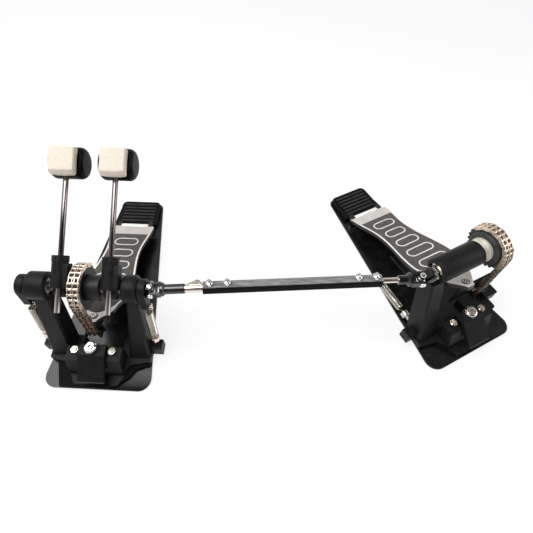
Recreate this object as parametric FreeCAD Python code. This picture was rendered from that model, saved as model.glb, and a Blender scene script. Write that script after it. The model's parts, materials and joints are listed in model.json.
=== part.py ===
import FreeCAD, Part
import math
import os

os.makedirs("parts", exist_ok=True)
Vector = FreeCAD.Vector

# Double bass drum pedal. Millimetres. X runs along the main axle, Y runs from the drum to the heel, Z is up.
# The origin is on the floor under the middle of the main axle.

# General fits
running_clearance = 0.05
seat_gap = 0.3
joint_gap = 0.6

# Place of the second pedal on the floor
second_x = 578.0
second_y = 81.0
second_turn = 29.0

# Base plate and mat
mat_thickness = 2.0
plate_thickness = 3.0
plate_front_y = -104.0
plate_heel_y = 288.0
plate_front_half_width = 90.0
plate_heel_half_width = 43.0
plate_front_corner = 20.0
plate_heel_corner = 12.0
mat_inset = 6.0
plate_top = mat_thickness + plate_thickness

# Frame casting
foot_height = 12.0
foot_front_y = -99.0
foot_front_half = 36.0
foot_waist_y = -66.0
foot_waist_half = 52.0
foot_side_y = -60.0
foot_side_half = 84.0
foot_rear_y = -18.0
foot_inner_half = 34.0
foot_inner_y = -46.0
foot_corner = 5.0
tongue_height = 6.0
block_half = 44.0
block_front_y = -82.0
block_rear_y = -50.0
block_top = 50.0
post_foot_inner = 46.0
post_foot_outer = 82.0
post_foot_front = -58.0
post_foot_rear = -20.0
post_top_drop = 14.0
post_top_half_y = 15.0
post_top_inset = 3.0
boss_radius = 21.0
boss_edge = 3.0
lug_half_x = 9.0
lug_half_y = 9.0
lug_top = 27.0

# Axle line
axle_z = 156.0
hex_flats = 13.0
journal_radius = 10.0
bearing_radius = 14.0
left_boss_start = -79.0
left_boss_end = -47.0
right_boss_start = 62.0
right_boss_end = 84.0
bearing_inset = 4.0
left_rocker_start = -92.5
rocker_width = 11.0
right_rocker_start = 84.6
rocker_radius = 16.0
rocker_tip_radius = 6.0
axle_end_overhang = 1.0
sleeve_start = 9.0
sleeve_end = 31.5
sleeve_radius = 19.0
sleeve_edge = 1.2
spigot_length = 14.0
spigot_radius = 8.0

# Return springs
left_spring_x = -87.5
right_spring_x = 92.0
spring_low_y = -28.0
spring_low_z = 50.0
spring_high_y = -12.0
spring_high_drop = 28.0
spring_radius = 6.0
spring_wire = 1.8
spring_pitch = 3.4
spring_lead = 7.0
spring_tail = 2.2
spring_bolt_radius = 3.0
spring_nut_radius = 7.0
spring_nut_length = 9.0
spring_bolt_below = 30.0

# Beaters
beater_lean = 58.2
rod_offset = 14.0
rod_radius = 4.0
rod_tail = 37.0
rod_top = 203.0
left_rod_x = -27.5
right_rod_x = 45.5
hub_half_x = 12.0
hub_back = -16.0
hub_front = 25.0
hub_low = -16.0
hub_high = 45.0
hub_waist_out = 11.0
hub_waist_up = 1.0
hub_neck_out = 2.0
hub_neck_up = 17.0
hub_corner = 3.0
hub_shoulder = 34.0
hub_step = 4.0
hub_screw_up = 39.0
hub_screw_radius = 4.0
hub_screw_depth = 2.0
head_low = 157.0
head_high = 205.0
head_back = -16.0
head_front = 26.0
head_half_x = 24.0
head_corner = 13.0
head_edge = 7.0
felt_thickness = 17.0
felt_half_x = 23.0
felt_half_u = 21.5
felt_corner = 9.0
felt_edge = 4.0

# Sprocket and duplex chain
tooth_count = 22
chain_pitch = 9.525
strand_spacing = 10.13
roller_radius = 2.5
roller_half = 2.39
plate_gap = 0.1
link_plate = 1.0
link_plate_radius = 4.0
middle_plate_half = 0.7
pin_radius = 1.7
pin_overhang = 0.4
tooth_tip = 2.6
tooth_half = 2.1
seat_radius = 2.66
seat_mouth_radius = 3.4
seat_mouth_rise = 3.0
sprocket_web_radius = 27.0
sprocket_web_side = 3.0
wrap_links = 5
arc_links = 4
run_links = 10
main_chain_x = -3.5
second_chain_x = 42.0

# Footboard
hinge_y = 217.0
hinge_z = 16.0
main_board_angle = 15.2
second_board_angle = 19.6
board_thickness = 8.0
board_lift = 1.0
board_heel_at = 9.0
board_heel_half = 41.0
board_waist_at = 85.0
board_waist_half = 32.5
board_wide_at = 188.0
board_wide_half = 43.5
board_neck_at = 224.0
board_neck_half = 29.0
board_toe_at = 247.0
board_toe_half = 13.0
board_tip_at = 254.0
board_tip_half = 6.0
board_samples = 20
panel_depth = 1.4
panel_border = 4.5
panel_start = 34.0
panel_end = 214.0
hollow_depth = 3.5
toe_screw_at = 242.0
main_toe_extra = 0.0
second_toe_extra = 14.0
toe_screw_radius = 4.5
toe_screw_height = 2.5
knuckle_radius = 6.5
knuckle_half = 27.0
hinge_pin_radius = 3.0
hinge_pin_half = 36.0

# Chain bracket under the toe
bracket_thickness = 3.0
bracket_behind = 7.0
bracket_foot_length = 26.0

# Heel plate
heel_front_y = 226.0
heel_margin = 2.0
heel_front_half = 41.0
heel_rear_half = 40.0
heel_top = 14.0
heel_corner = 10.0
rib_count = 6
rib_width = 4.0
rib_height = 1.6
rib_margin = 7.0
ear_width = 7.5

# Hoop clamp
jaw_half = 21.0
jaw_rear_y = -50.0
jaw_knee_y = -68.0
jaw_front_y = -101.0
jaw_low = 51.0
jaw_high = 61.0
jaw_lip_low = 23.0
jaw_lip_high = 31.0
jaw_side_gap = 1.0
jaw_drop = 8.0
jaw_corner = 1.5
bolt_y = -58.0
bolt_head_radius = 9.5
bolt_head_height = 11.0
bolt_shank_radius = 4.0
bolt_shank_depth = 20.0
bolt_key_flats = 6.0
bolt_key_depth = 4.0
nut_x = 30.0
nut_y = -58.0
nut_flats = 11.0
nut_height = 6.0
stud_radius = 4.0
stud_above = 2.5
stud_below = 18.0

# Linkage between the two pedals
main_cross_x = 101.5
second_cross_x = -92.0
cross_ball = 6.4
cross_pin = 2.6
ear_inner = 7.0
ear_outer = 10.5
ear_half = 5.4
fork_reach = 14.0
fork_base = 6.0
fork_radius = 12.2
barrel_length = 30.0
barrel_radius = 9.0
clamp_sleeve_length = 26.0
clamp_sleeve_radius = 8.0
bar_half = 8.0
bar_corner = 1.5
bar_gap = 8.0
inner_rod_radius = 5.5
inner_rod_depth = 110.0
bar_bore_depth = 190.0
key_bolt_radius = 3.0
key_bolt_height = 9.0
key_bolt_flats = 5.0
key_bolt_inset = 10.0
key_bolt_step = 26.0

# Second pedal
tube_start = -64.0
tube_end = 17.0
tube_radius = 20.0
tube_bearing_length = 20.0
lock_nut_flats = 20.0
lock_nut_length = 6.0
collar_end = 29.5
collar_radius = 17.0
second_spring_x = -69.0
second_spring_z = 15.0
second_spring_front = 4.0
second_spring_rear = 72.0


def rounded_wire(points, radii):
    # Closed outline with each corner turned into an arc of its own radius.
    count = len(points)
    edges = []
    arcs = []
    for index in range(count):
        corner = points[index]
        before = points[index - 1] - corner
        after = points[(index + 1) % count] - corner
        before.normalize()
        after.normalize()
        half = math.acos(max(-1.0, min(1.0, before.dot(after)))) / 2
        reach = radii[index] / math.tan(half)
        inward = before + after
        inward.normalize()
        middle = corner + inward * (radii[index] / math.sin(half) - radii[index])
        arcs.append((corner + before * reach, middle, corner + after * reach))
    for index in range(count):
        start, middle, end = arcs[index]
        edges.append(Part.Arc(start, middle, end).toShape())
        following = arcs[(index + 1) % count][0]
        if (following - end).Length > 1e-6:
            edges.append(Part.makeLine(end, following))
    return Part.Wire(edges)


def prism(points, radius, direction):
    # Solid with a rounded outline, pushed along a direction.
    radii = radius if isinstance(radius, list) else [radius] * len(points)
    return Part.Face(rounded_wire(points, radii)).extrude(direction)


def cylinder(start, direction, radius, length):
    return Part.makeCylinder(radius, length, start, direction)


def along_x(start, end, radius, y=0.0, z=axle_z):
    return cylinder(Vector(start, y, z), Vector(1, 0, 0), radius, end - start)


def hex_x(start, end, flats):
    # Hexagonal bar along the axle line.
    reach = flats / math.sqrt(3)
    points = []
    for step in range(6):
        turn = math.radians(60 * step)
        points.append(Vector(start, reach * math.cos(turn), axle_z + reach * math.sin(turn)))
    face = Part.Face(Part.makePolygon(points + [points[0]]))
    return face.extrude(Vector(end - start, 0, 0))


def hex_z(x, y, low, high, flats):
    reach = flats / math.sqrt(3)
    points = []
    for step in range(6):
        turn = math.radians(60 * step)
        points.append(Vector(x + reach * math.cos(turn), y + reach * math.sin(turn), low))
    face = Part.Face(Part.makePolygon(points + [points[0]]))
    return face.extrude(Vector(0, 0, high - low))


def block(x_low, x_high, y_low, y_high, z_low, z_high):
    return Part.makeBox(x_high - x_low, y_high - y_low, z_high - z_low, Vector(x_low, y_low, z_low))


def mirrored(points):
    # Outline from its right half, front to rear.
    left = [Vector(-point.x, point.y, point.z) for point in reversed(points)]
    return points + left


def second_place(shape):
    # From a pedal's own frame to the place of the second pedal.
    placed = shape.copy()
    placed.rotate(Vector(0, 0, 0), Vector(0, 0, 1), second_turn)
    placed.translate(Vector(second_x, second_y, 0))
    return placed


def save(name, solids, second=False):
    chosen = [second_place(solid) for solid in solids] if second else solids
    shape = chosen[0] if len(chosen) == 1 else Part.makeCompound(chosen)
    shape.exportStep("parts/" + name + ".step")


def base_outline(inset, height):
    right = [
        Vector(plate_front_half_width - inset, plate_front_y + inset, height),
        Vector(plate_heel_half_width - inset, plate_heel_y - inset, height),
    ]
    return mirrored(right)


def base_plate():
    radii = [plate_front_corner, plate_heel_corner, plate_heel_corner, plate_front_corner]
    return prism(base_outline(0, mat_thickness), radii, Vector(0, 0, plate_thickness))


def rubber_mat():
    return prism(base_outline(mat_inset, 0), plate_heel_corner, Vector(0, 0, mat_thickness))


def foot():
    # Low flange of the casting, waisted behind its front tongue and open at the rear for the toe.
    top = plate_top + foot_height
    right = [
        Vector(foot_front_half, foot_front_y, plate_top),
        Vector(foot_waist_half, foot_waist_y, plate_top),
        Vector(foot_side_half, foot_side_y, plate_top),
        Vector(foot_side_half, foot_rear_y, plate_top),
        Vector(foot_inner_half, foot_rear_y, plate_top),
        Vector(foot_inner_half, foot_inner_y, plate_top),
    ]
    body = prism(mirrored(right), foot_corner, Vector(0, 0, foot_height))
    wide = plate_front_half_width
    step = block(-wide, wide, plate_front_y, block_front_y, plate_top + tongue_height, top)
    return body.cut(step)


def jaw_front_low():
    # Underside of the jaw where it leaves the block.
    return jaw_lip_low + (jaw_high - jaw_lip_high) / 2


def clamp_block():
    # Block that carries the studs, slotted for the clamp jaw.
    body = block(-block_half, block_half, block_front_y, block_rear_y, plate_top, block_top)
    slot_half = jaw_half + jaw_side_gap
    lowered = jaw_drop + jaw_side_gap
    slot_points = [
        Vector(-slot_half, block_rear_y + 1, block_top + 1),
        Vector(-slot_half, block_rear_y + 1, jaw_low - lowered),
        Vector(-slot_half, jaw_knee_y, jaw_low - lowered),
        Vector(-slot_half, block_front_y, jaw_front_low() - lowered),
        Vector(-slot_half, block_front_y - 1, jaw_front_low() - lowered),
        Vector(-slot_half, block_front_y - 1, block_top + 1),
    ]
    slot = Part.Face(Part.makePolygon(slot_points + [slot_points[0]])).extrude(Vector(2 * slot_half, 0, 0))
    front = block_front_y - 1
    wedge_points = [
        Vector(-block_half - 1, front, block_top + 1),
        Vector(-block_half - 1, front, plate_top + foot_height),
        Vector(-block_half - 1, front + (block_rear_y - block_front_y) / 3, block_top + 1),
    ]
    wedge = Part.Face(Part.makePolygon(wedge_points + [wedge_points[0]]))
    return body.cut(slot).cut(wedge.extrude(Vector(2 * block_half + 2, 0, 0)))


def rectangle(x_low, x_high, y_low, y_high, z):
    corners = [
        Vector(x_low, y_low, z),
        Vector(x_high, y_low, z),
        Vector(x_high, y_high, z),
        Vector(x_low, y_high, z),
    ]
    return Part.makePolygon(corners + [corners[0]])


def post(side, start, end):
    # Sloped post from the flange to the bearing boss.
    inner = min(side * post_foot_inner, side * post_foot_outer)
    outer = max(side * post_foot_inner, side * post_foot_outer)
    low = rectangle(inner, outer, post_foot_front, post_foot_rear, plate_top)
    top_low = start + post_top_inset
    top_high = end - post_top_inset
    high = rectangle(top_low, top_high, -post_top_half_y, post_top_half_y, axle_z - post_top_drop)
    body = Part.makeLoft([low, high], True, True)
    tall = [edge for edge in body.Edges if edge.BoundBox.ZLength > boss_radius]
    return body.makeChamfer(boss_edge, tall)


def boss(start, end, radius):
    body = along_x(start, end, radius)
    rims = [edge for edge in body.Edges if edge.Closed]
    return body.makeChamfer(boss_edge, rims)


def spring_axis(side):
    x = left_spring_x if side < 0 else right_spring_x
    low = Vector(x, spring_low_y, spring_low_z)
    high = Vector(x, spring_high_y, axle_z - spring_high_drop)
    direction = high - low
    direction.normalize()
    return low, high, direction


def lug(side):
    # Ear of the casting that takes the foot of a spring bolt.
    low, high, direction = spring_axis(side)
    centre = low - direction * ((spring_low_z - lug_top) / direction.z)
    reach = side * (centre.x + side * lug_half_x)
    inner = min(side * centre.x - lug_half_x, foot_side_half - 2 * foot_corner)
    low = min(side * inner, side * reach)
    high = max(side * inner, side * reach)
    return block(low, high, centre.y - lug_half_y, centre.y + lug_half_y, plate_top, lug_top)


def stud_holes():
    holes = []
    for side in (-1, 1):
        start = Vector(side * nut_x, nut_y, block_top - stud_below)
        holes.append(cylinder(start, Vector(0, 0, 1), stud_radius + running_clearance, stud_below + 1))
    depth = bolt_shank_depth + jaw_drop + jaw_side_gap
    start = Vector(0, bolt_y, jaw_low - depth)
    holes.append(cylinder(start, Vector(0, 0, 1), bolt_shank_radius + seat_gap, depth + 1))
    return holes


def spring_bolt(side):
    low, high, direction = spring_axis(side)
    bolt = cylinder(low - direction * spring_bolt_below, direction, spring_bolt_radius, spring_bolt_below)
    nut_start = low - direction * spring_nut_length
    nut = cylinder(nut_start, direction, spring_nut_radius, spring_nut_length)
    return bolt.fuse(nut)


def spring_hole(side):
    low, high, direction = spring_axis(side)
    start = low - direction * (spring_bolt_below + joint_gap)
    return cylinder(start, direction, spring_bolt_radius + running_clearance, spring_bolt_below)


def main_frame():
    body = foot().fuse([
        clamp_block(),
        post(-1, left_boss_start, left_boss_end),
        post(1, right_boss_start, right_boss_end),
        boss(left_boss_start, left_boss_end, boss_radius),
        boss(right_boss_start, right_boss_end, boss_radius),
        lug(-1),
        lug(1),
    ])
    cuts = stud_holes() + [spring_hole(-1), spring_hole(1)]
    cuts.append(along_x(left_boss_start - 1, left_boss_end + 1, bearing_radius))
    cuts.append(along_x(right_boss_start - 1, right_boss_end + 1, bearing_radius))
    return body.cut(cuts).removeSplitter()


def second_frame():
    body = foot().fuse([
        clamp_block(),
        post(-1, left_boss_start, left_boss_end),
        boss(tube_start, tube_end, tube_radius),
        lug(-1),
        lug(1),
    ])
    cuts = stud_holes()
    cuts.append(along_x(tube_start - 1, tube_end + 1, bearing_radius))
    return body.cut(cuts).removeSplitter()


def frame_nuts():
    nuts = []
    for side in (-1, 1):
        nut = hex_z(side * nut_x, nut_y, block_top, block_top + nut_height, nut_flats)
        length = stud_below + nut_height + stud_above
        foot_place = Vector(side * nut_x, nut_y, block_top - stud_below)
        stud = cylinder(foot_place, Vector(0, 0, 1), stud_radius, length)
        nuts.append(nut.fuse(stud))
    return nuts


def bearing(start, end):
    outer = along_x(start, end, bearing_radius - running_clearance)
    return outer.cut(along_x(start - 1, end + 1, journal_radius + running_clearance))


def clamp_jaw():
    # Upper jaw that presses the drum hoop onto the tongue of the casting.
    points = [
        Vector(-jaw_half, jaw_rear_y, jaw_low),
        Vector(-jaw_half, jaw_rear_y, jaw_high),
        Vector(-jaw_half, jaw_knee_y, jaw_high),
        Vector(-jaw_half, jaw_front_y, jaw_lip_high),
        Vector(-jaw_half, jaw_front_y, jaw_lip_low),
        Vector(-jaw_half, block_front_y, jaw_front_low()),
        Vector(-jaw_half, jaw_knee_y, jaw_low),
    ]
    body = prism(points, jaw_corner, Vector(2 * jaw_half, 0, 0))
    return body.cut(cylinder(
        Vector(0, bolt_y, jaw_low - 1), Vector(0, 0, 1), bolt_shank_radius + running_clearance, jaw_high
    ))


def clamp_bolt():
    head = cylinder(Vector(0, bolt_y, jaw_high), Vector(0, 0, 1), bolt_head_radius, bolt_head_height)
    rims = [edge for edge in head.Edges if edge.Closed and edge.CenterOfMass.z > jaw_high + 1]
    head = head.makeFillet(bolt_head_height / 4, rims)
    top = jaw_high + bolt_head_height
    socket = hex_z(0, bolt_y, top - bolt_key_depth, top + 1, bolt_key_flats)
    low = jaw_low - bolt_shank_depth
    shank = cylinder(Vector(0, bolt_y, low), Vector(0, 0, 1), bolt_shank_radius, jaw_high - low)
    return head.cut(socket).fuse(shank)


def hexagon_bore(start, end):
    return hex_x(start, end, hex_flats + 2 * running_clearance)


def main_axle():
    journal_low = left_boss_start + bearing_inset
    journal_high = left_boss_end - bearing_inset
    bar = hex_x(left_rocker_start - axle_end_overhang, sleeve_end - spigot_length - 1, hex_flats)
    return bar.fuse(along_x(journal_low, journal_high, journal_radius))


def second_shaft():
    # Shaft of the second beater, turning in the right boss and in the sleeve.
    spigot = along_x(sleeve_end - spigot_length, sleeve_end + joint_gap, spigot_radius)
    bar = hex_x(sleeve_end + joint_gap, main_cross_x - fork_reach - fork_base / 2, hex_flats)
    journal = along_x(right_boss_start + bearing_inset, right_boss_end - bearing_inset, journal_radius)
    return bar.fuse([spigot, journal])


def shaft_sleeve():
    body = along_x(sleeve_start, sleeve_end, sleeve_radius)
    rims = [edge for edge in body.Edges if edge.Closed]
    body = body.makeChamfer(sleeve_edge, rims)
    spigot_start = sleeve_end - spigot_length - joint_gap
    bored = body.cut(along_x(spigot_start, sleeve_end + 1, spigot_radius + running_clearance))
    return bored.cut(hexagon_bore(sleeve_start - 1, sleeve_end - spigot_length))


def rocker(start, bore):
    # Arm that turns with the axle and pulls the spring.
    span = Vector(0, spring_high_y, -spring_high_drop)
    length = span.Length
    span.normalize()
    across = Vector(0, -span.z, span.y)
    hub_centre = Vector(start, 0, axle_z)
    tip_centre = Vector(start, spring_high_y, axle_z - spring_high_drop)
    lean = math.asin((rocker_radius - rocker_tip_radius) / length)
    points = []
    for way in (1, -1):
        out = across * way * math.cos(lean) + span * math.sin(lean)
        points.append((hub_centre + out * rocker_radius, tip_centre + out * rocker_tip_radius))
    edges = [
        Part.makeLine(points[0][0], points[0][1]),
        Part.Arc(points[0][1], tip_centre + span * rocker_tip_radius, points[1][1]).toShape(),
        Part.makeLine(points[1][1], points[1][0]),
        Part.Arc(points[1][0], hub_centre - span * rocker_radius, points[0][0]).toShape(),
    ]
    body = Part.Face(Part.Wire(edges)).extrude(Vector(rocker_width, 0, 0))
    return body.cut(bore)


def left_rocker():
    bore = hexagon_bore(left_rocker_start - 1, left_rocker_start + rocker_width + 1)
    return rocker(left_rocker_start, bore)


def right_rocker():
    # Sits on the base of the joint's fork.
    end = right_rocker_start + rocker_width
    bore = along_x(right_rocker_start - 1, end + 1, fork_radius + running_clearance)
    return rocker(right_rocker_start, bore)


def beater_axes():
    lean = math.radians(beater_lean)
    up = Vector(0, math.sin(lean), math.cos(lean))
    out = Vector(0, -math.cos(lean), math.sin(lean))
    return up, out


def beater_point(x, out_by, up_by):
    up, out = beater_axes()
    return Vector(x, 0, axle_z) + out * out_by + up * up_by


def hub(rod_x):
    # Clamp on the axle with a tall neck that is bored for the rod and stepped on its right side.
    low_x = rod_x - hub_half_x
    outline = [
        (hub_back, hub_low),
        (hub_waist_out, hub_low),
        (hub_waist_out, hub_waist_up),
        (hub_front, hub_waist_up),
        (hub_front, hub_high),
        (hub_neck_out, hub_high),
        (hub_neck_out, hub_neck_up),
        (hub_back, hub_neck_up),
    ]
    points = [beater_point(low_x, out_by, up_by) for out_by, up_by in outline]
    body = prism(points, hub_corner, Vector(2 * hub_half_x, 0, 0))
    up, out = beater_axes()
    step_x = rod_x + hub_half_x - hub_step
    step_points = [
        beater_point(step_x, hub_back, hub_shoulder),
        beater_point(step_x, hub_front + 1, hub_shoulder),
        beater_point(step_x, hub_front + 1, hub_high + 1),
        beater_point(step_x, hub_back, hub_high + 1),
    ]
    step = Part.Face(Part.makePolygon(step_points + [step_points[0]])).extrude(Vector(hub_step + 1, 0, 0))
    length = hub_high - hub_low + 2
    bore = cylinder(beater_point(rod_x, rod_offset, hub_low - 1), up, rod_radius + running_clearance, length)
    recess_start = beater_point(rod_x, hub_front - hub_screw_depth, hub_screw_up)
    recess = cylinder(recess_start, out, hub_screw_radius, hub_screw_depth + 1)
    return body.cut([step, bore, recess, hexagon_bore(low_x - 1, rod_x + hub_half_x + 1)])


def beater_rod(rod_x):
    up, out = beater_axes()
    return cylinder(beater_point(rod_x, rod_offset, -rod_tail), up, rod_radius, rod_top + rod_tail)


def head_block(rod_x, half_x, low, high, back, front, corner, edge, keep_front):
    # Rounded block on the rod; the flat face can stay sharp.
    up, out = beater_axes()
    points = [
        beater_point(rod_x - half_x, back, low),
        beater_point(rod_x + half_x, back, low),
        beater_point(rod_x + half_x, back, high),
        beater_point(rod_x - half_x, back, high),
    ]
    body = prism(points, corner, out * (front - back))
    limit = front if keep_front else back
    flat = beater_point(rod_x, limit, low)
    rims = []
    for item in body.Edges:
        from_flat = abs((item.CenterOfMass - flat).dot(out))
        if abs(from_flat - (front - back)) < 0.01:
            rims.append(item)
    return body.makeFillet(edge, rims)


def beater_body(rod_x):
    up, out = beater_axes()
    body = head_block(
        rod_x, head_half_x, head_low, head_high, head_back, head_front, head_corner, head_edge, True
    )
    length = head_high - head_low + 2
    bore = cylinder(beater_point(rod_x, rod_offset, head_low - 1), up, rod_radius + running_clearance, length)
    return body.cut(bore)


def beater_felt(rod_x):
    middle = (head_low + head_high) / 2
    return head_block(
        rod_x, felt_half_x, middle - felt_half_u, middle + felt_half_u,
        head_front, head_front + felt_thickness, felt_corner, felt_edge, False
    )


def pitch_radius():
    return chain_pitch / (2 * math.sin(math.pi / tooth_count))


def sprocket(chain_x, side_low, side_high):
    # Two toothed discs on one web, with a hexagonal bore.
    radius = pitch_radius()
    seats = []
    discs = []
    for strand in (-1, 1):
        centre = chain_x + strand * strand_spacing / 2
        disc = along_x(centre - tooth_half, centre + tooth_half, radius + tooth_tip)
        discs.append(disc)
    for tooth in range(tooth_count):
        turn = 2 * math.pi * tooth / tooth_count
        reach = strand_spacing / 2 + tooth_half + 1
        for share in (0, 0.5, 1):
            out = radius + seat_mouth_rise * share
            width = seat_radius + (seat_mouth_radius - seat_radius) * share
            y = out * math.cos(turn)
            z = axle_z + out * math.sin(turn)
            seats.append(along_x(chain_x - reach, chain_x + reach, width, y, z))
    web = along_x(side_low, side_high, sprocket_web_radius)
    body = discs[0].fuse(discs[1:]).cut(seats).fuse(web)
    return body.cut(hexagon_bore(side_low - 1, side_high + 1))


def main_sprocket():
    # Sprocket and the sleeve that covers the joint of the two shafts, in one piece.
    return sprocket(main_chain_x, main_chain_x - strand_spacing, sleeve_start).fuse(shaft_sleeve())


def stadium(x_low, x_high):
    # One chain plate, lying between two pins.
    half = chain_pitch / 2
    edges = [
        Part.makeLine(Vector(x_low, -half, link_plate_radius), Vector(x_low, half, link_plate_radius)),
        Part.Arc(
            Vector(x_low, half, link_plate_radius),
            Vector(x_low, half + link_plate_radius, 0),
            Vector(x_low, half, -link_plate_radius),
        ).toShape(),
        Part.makeLine(Vector(x_low, half, -link_plate_radius), Vector(x_low, -half, -link_plate_radius)),
        Part.Arc(
            Vector(x_low, -half, -link_plate_radius),
            Vector(x_low, -half - link_plate_radius, 0),
            Vector(x_low, -half, link_plate_radius),
        ).toShape(),
    ]
    return Part.Face(Part.Wire(edges)).extrude(Vector(x_high - x_low, 0, 0))


def link_widths():
    inner_start = roller_half
    inner_end = inner_start + link_plate
    outer_start = inner_end + plate_gap
    outer_end = outer_start + link_plate
    return inner_start, inner_end, outer_start, outer_end


def outer_link():
    inner_start, inner_end, outer_start, outer_end = link_widths()
    strand = strand_spacing / 2
    pieces = [stadium(strand + outer_start, strand + outer_end)]
    pieces.append(stadium(-strand - outer_end, -strand - outer_start))
    pieces.append(stadium(-middle_plate_half, middle_plate_half))
    reach = strand + outer_end + pin_overhang
    for end in (-1, 1):
        start = Vector(-reach, end * chain_pitch / 2, 0)
        pieces.append(cylinder(start, Vector(1, 0, 0), pin_radius, 2 * reach))
    return pieces[0].fuse(pieces[1:])


def inner_link():
    inner_start, inner_end, outer_start, outer_end = link_widths()
    strands = []
    for strand in (-strand_spacing / 2, strand_spacing / 2):
        pieces = [stadium(strand + inner_start, strand + inner_end)]
        pieces.append(stadium(strand - inner_end, strand - inner_start))
        holes = []
        for end in (-1, 1):
            low = Vector(strand - inner_start, end * chain_pitch / 2, 0)
            pieces.append(cylinder(low, Vector(1, 0, 0), roller_radius, 2 * inner_start))
            hole = Vector(strand - inner_end - 1, end * chain_pitch / 2, 0)
            holes.append(cylinder(hole, Vector(1, 0, 0), pin_radius + running_clearance, 2 * inner_end + 2))
        strands.append(pieces[0].fuse(pieces[1:]).cut(holes))
    return strands


def chain_pins():
    # Pin places in the Y and Z directions, from the anchor over the sprocket and down to the toe.
    radius = pitch_radius()
    step = 2 * math.pi / tooth_count
    places = []
    for index in range(wrap_links + arc_links, 0, -1):
        turn = math.pi - index * step
        places.append(Vector(0, radius * math.cos(turn), axle_z + radius * math.sin(turn)))
    for index in range(run_links + 1):
        places.append(Vector(0, -radius, axle_z - index * chain_pitch))
    return places


def chain_links(first, last, chain_x, outer, inner):
    pins = chain_pins()
    solids = []
    for index in range(first, last):
        middle = (pins[index] + pins[index + 1]) * 0.5
        span = pins[index + 1] - pins[index]
        turn = math.degrees(math.atan2(span.z, span.y))
        source = [outer] if index % 2 == 0 else inner
        for item in source:
            link = item.copy()
            link.rotate(Vector(0, 0, 0), Vector(1, 0, 0), turn)
            link.translate(Vector(chain_x, middle.y, middle.z))
            solids.append(link)
    return solids


def on_board(shape, angle):
    # From the flat footboard to its place on the hinge.
    placed = shape.copy()
    placed.rotate(Vector(0, 0, 0), Vector(1, 0, 0), -angle)
    placed.translate(Vector(0, hinge_y, hinge_z))
    return placed


def board_half(at, extra):
    # Half width of the footboard along its length, blended between its named stations.
    stations = [
        (board_heel_at, board_heel_half),
        (board_waist_at, board_waist_half),
        (board_wide_at, board_wide_half),
        (board_neck_at + extra / 2, board_neck_half),
        (board_toe_at + extra, board_toe_half),
        (board_tip_at + extra, board_tip_half),
    ]
    for index in range(len(stations) - 1):
        start, low = stations[index]
        end, high = stations[index + 1]
        if at <= end:
            share = (at - start) / (end - start)
            return low + (high - low) * (1 - math.cos(math.pi * share)) / 2
    return board_tip_half


def board_outline(start, end, border, height, extra):
    right = []
    for index in range(board_samples + 1):
        at = start + (end - start) * index / board_samples
        right.append(Vector(board_half(at, extra) - border, -at, height))
    curve = Part.BSplineCurve()
    curve.interpolate(right)
    left = [Vector(-point.x, point.y, point.z) for point in right]
    other = Part.BSplineCurve()
    other.interpolate(left)
    edges = [
        curve.toShape(),
        Part.makeLine(right[-1], left[-1]),
        other.toShape(),
        Part.makeLine(left[0], right[0]),
    ]
    return Part.Face(Part.Wire(Part.__sortEdges__(edges)))


def footboard(angle, extra):
    body = board_outline(board_heel_at, board_tip_at + extra, 0, board_lift, extra)
    body = body.extrude(Vector(0, 0, board_thickness))
    top = board_lift + board_thickness
    panel = board_outline(panel_start, panel_end, panel_border, top - panel_depth, extra)
    panel = panel.extrude(Vector(0, 0, panel_depth + 1))
    hollow = board_outline(panel_start, panel_end, panel_border, board_lift - 1, extra)
    hollow = hollow.extrude(Vector(0, 0, hollow_depth + 1))
    clear = cylinder(
        Vector(-2 * board_wide_half, 0, 0), Vector(1, 0, 0), knuckle_radius + seat_gap, 4 * board_wide_half
    )
    return on_board(body.cut([panel, hollow, clear]), angle)


def toe_screw(angle, extra):
    top = board_lift + board_thickness
    at = toe_screw_at + extra
    head = cylinder(Vector(0, -at, top), Vector(0, 0, 1), toe_screw_radius, toe_screw_height)
    rims = [edge for edge in head.Edges if edge.Closed and edge.CenterOfMass.z > top + 1]
    head = head.makeFillet(toe_screw_height / 3, rims)
    socket = hex_z(0, -at, top + toe_screw_height / 2, top + toe_screw_height + 1, toe_screw_radius)
    return on_board(head.cut(socket), angle)


def hinge_knuckle(angle):
    # Long barrel of the hinge with the leaf that holds the heel end of the footboard.
    barrel = cylinder(Vector(-knuckle_half, 0, 0), Vector(1, 0, 0), knuckle_radius, 2 * knuckle_half)
    leaf_end = panel_start - panel_border
    low = board_lift - knuckle_radius / 2
    leaf = block(-knuckle_half, knuckle_half, -leaf_end, 0, low, board_lift)
    bore_radius = hinge_pin_radius + running_clearance
    bore = cylinder(Vector(-knuckle_half - 1, 0, 0), Vector(1, 0, 0), bore_radius, 2 * knuckle_half + 2)
    return on_board(barrel.fuse(leaf).cut(bore), angle)


def hinge_pin():
    return along_x(-hinge_pin_half, hinge_pin_half, hinge_pin_radius, hinge_y, hinge_z)


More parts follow.
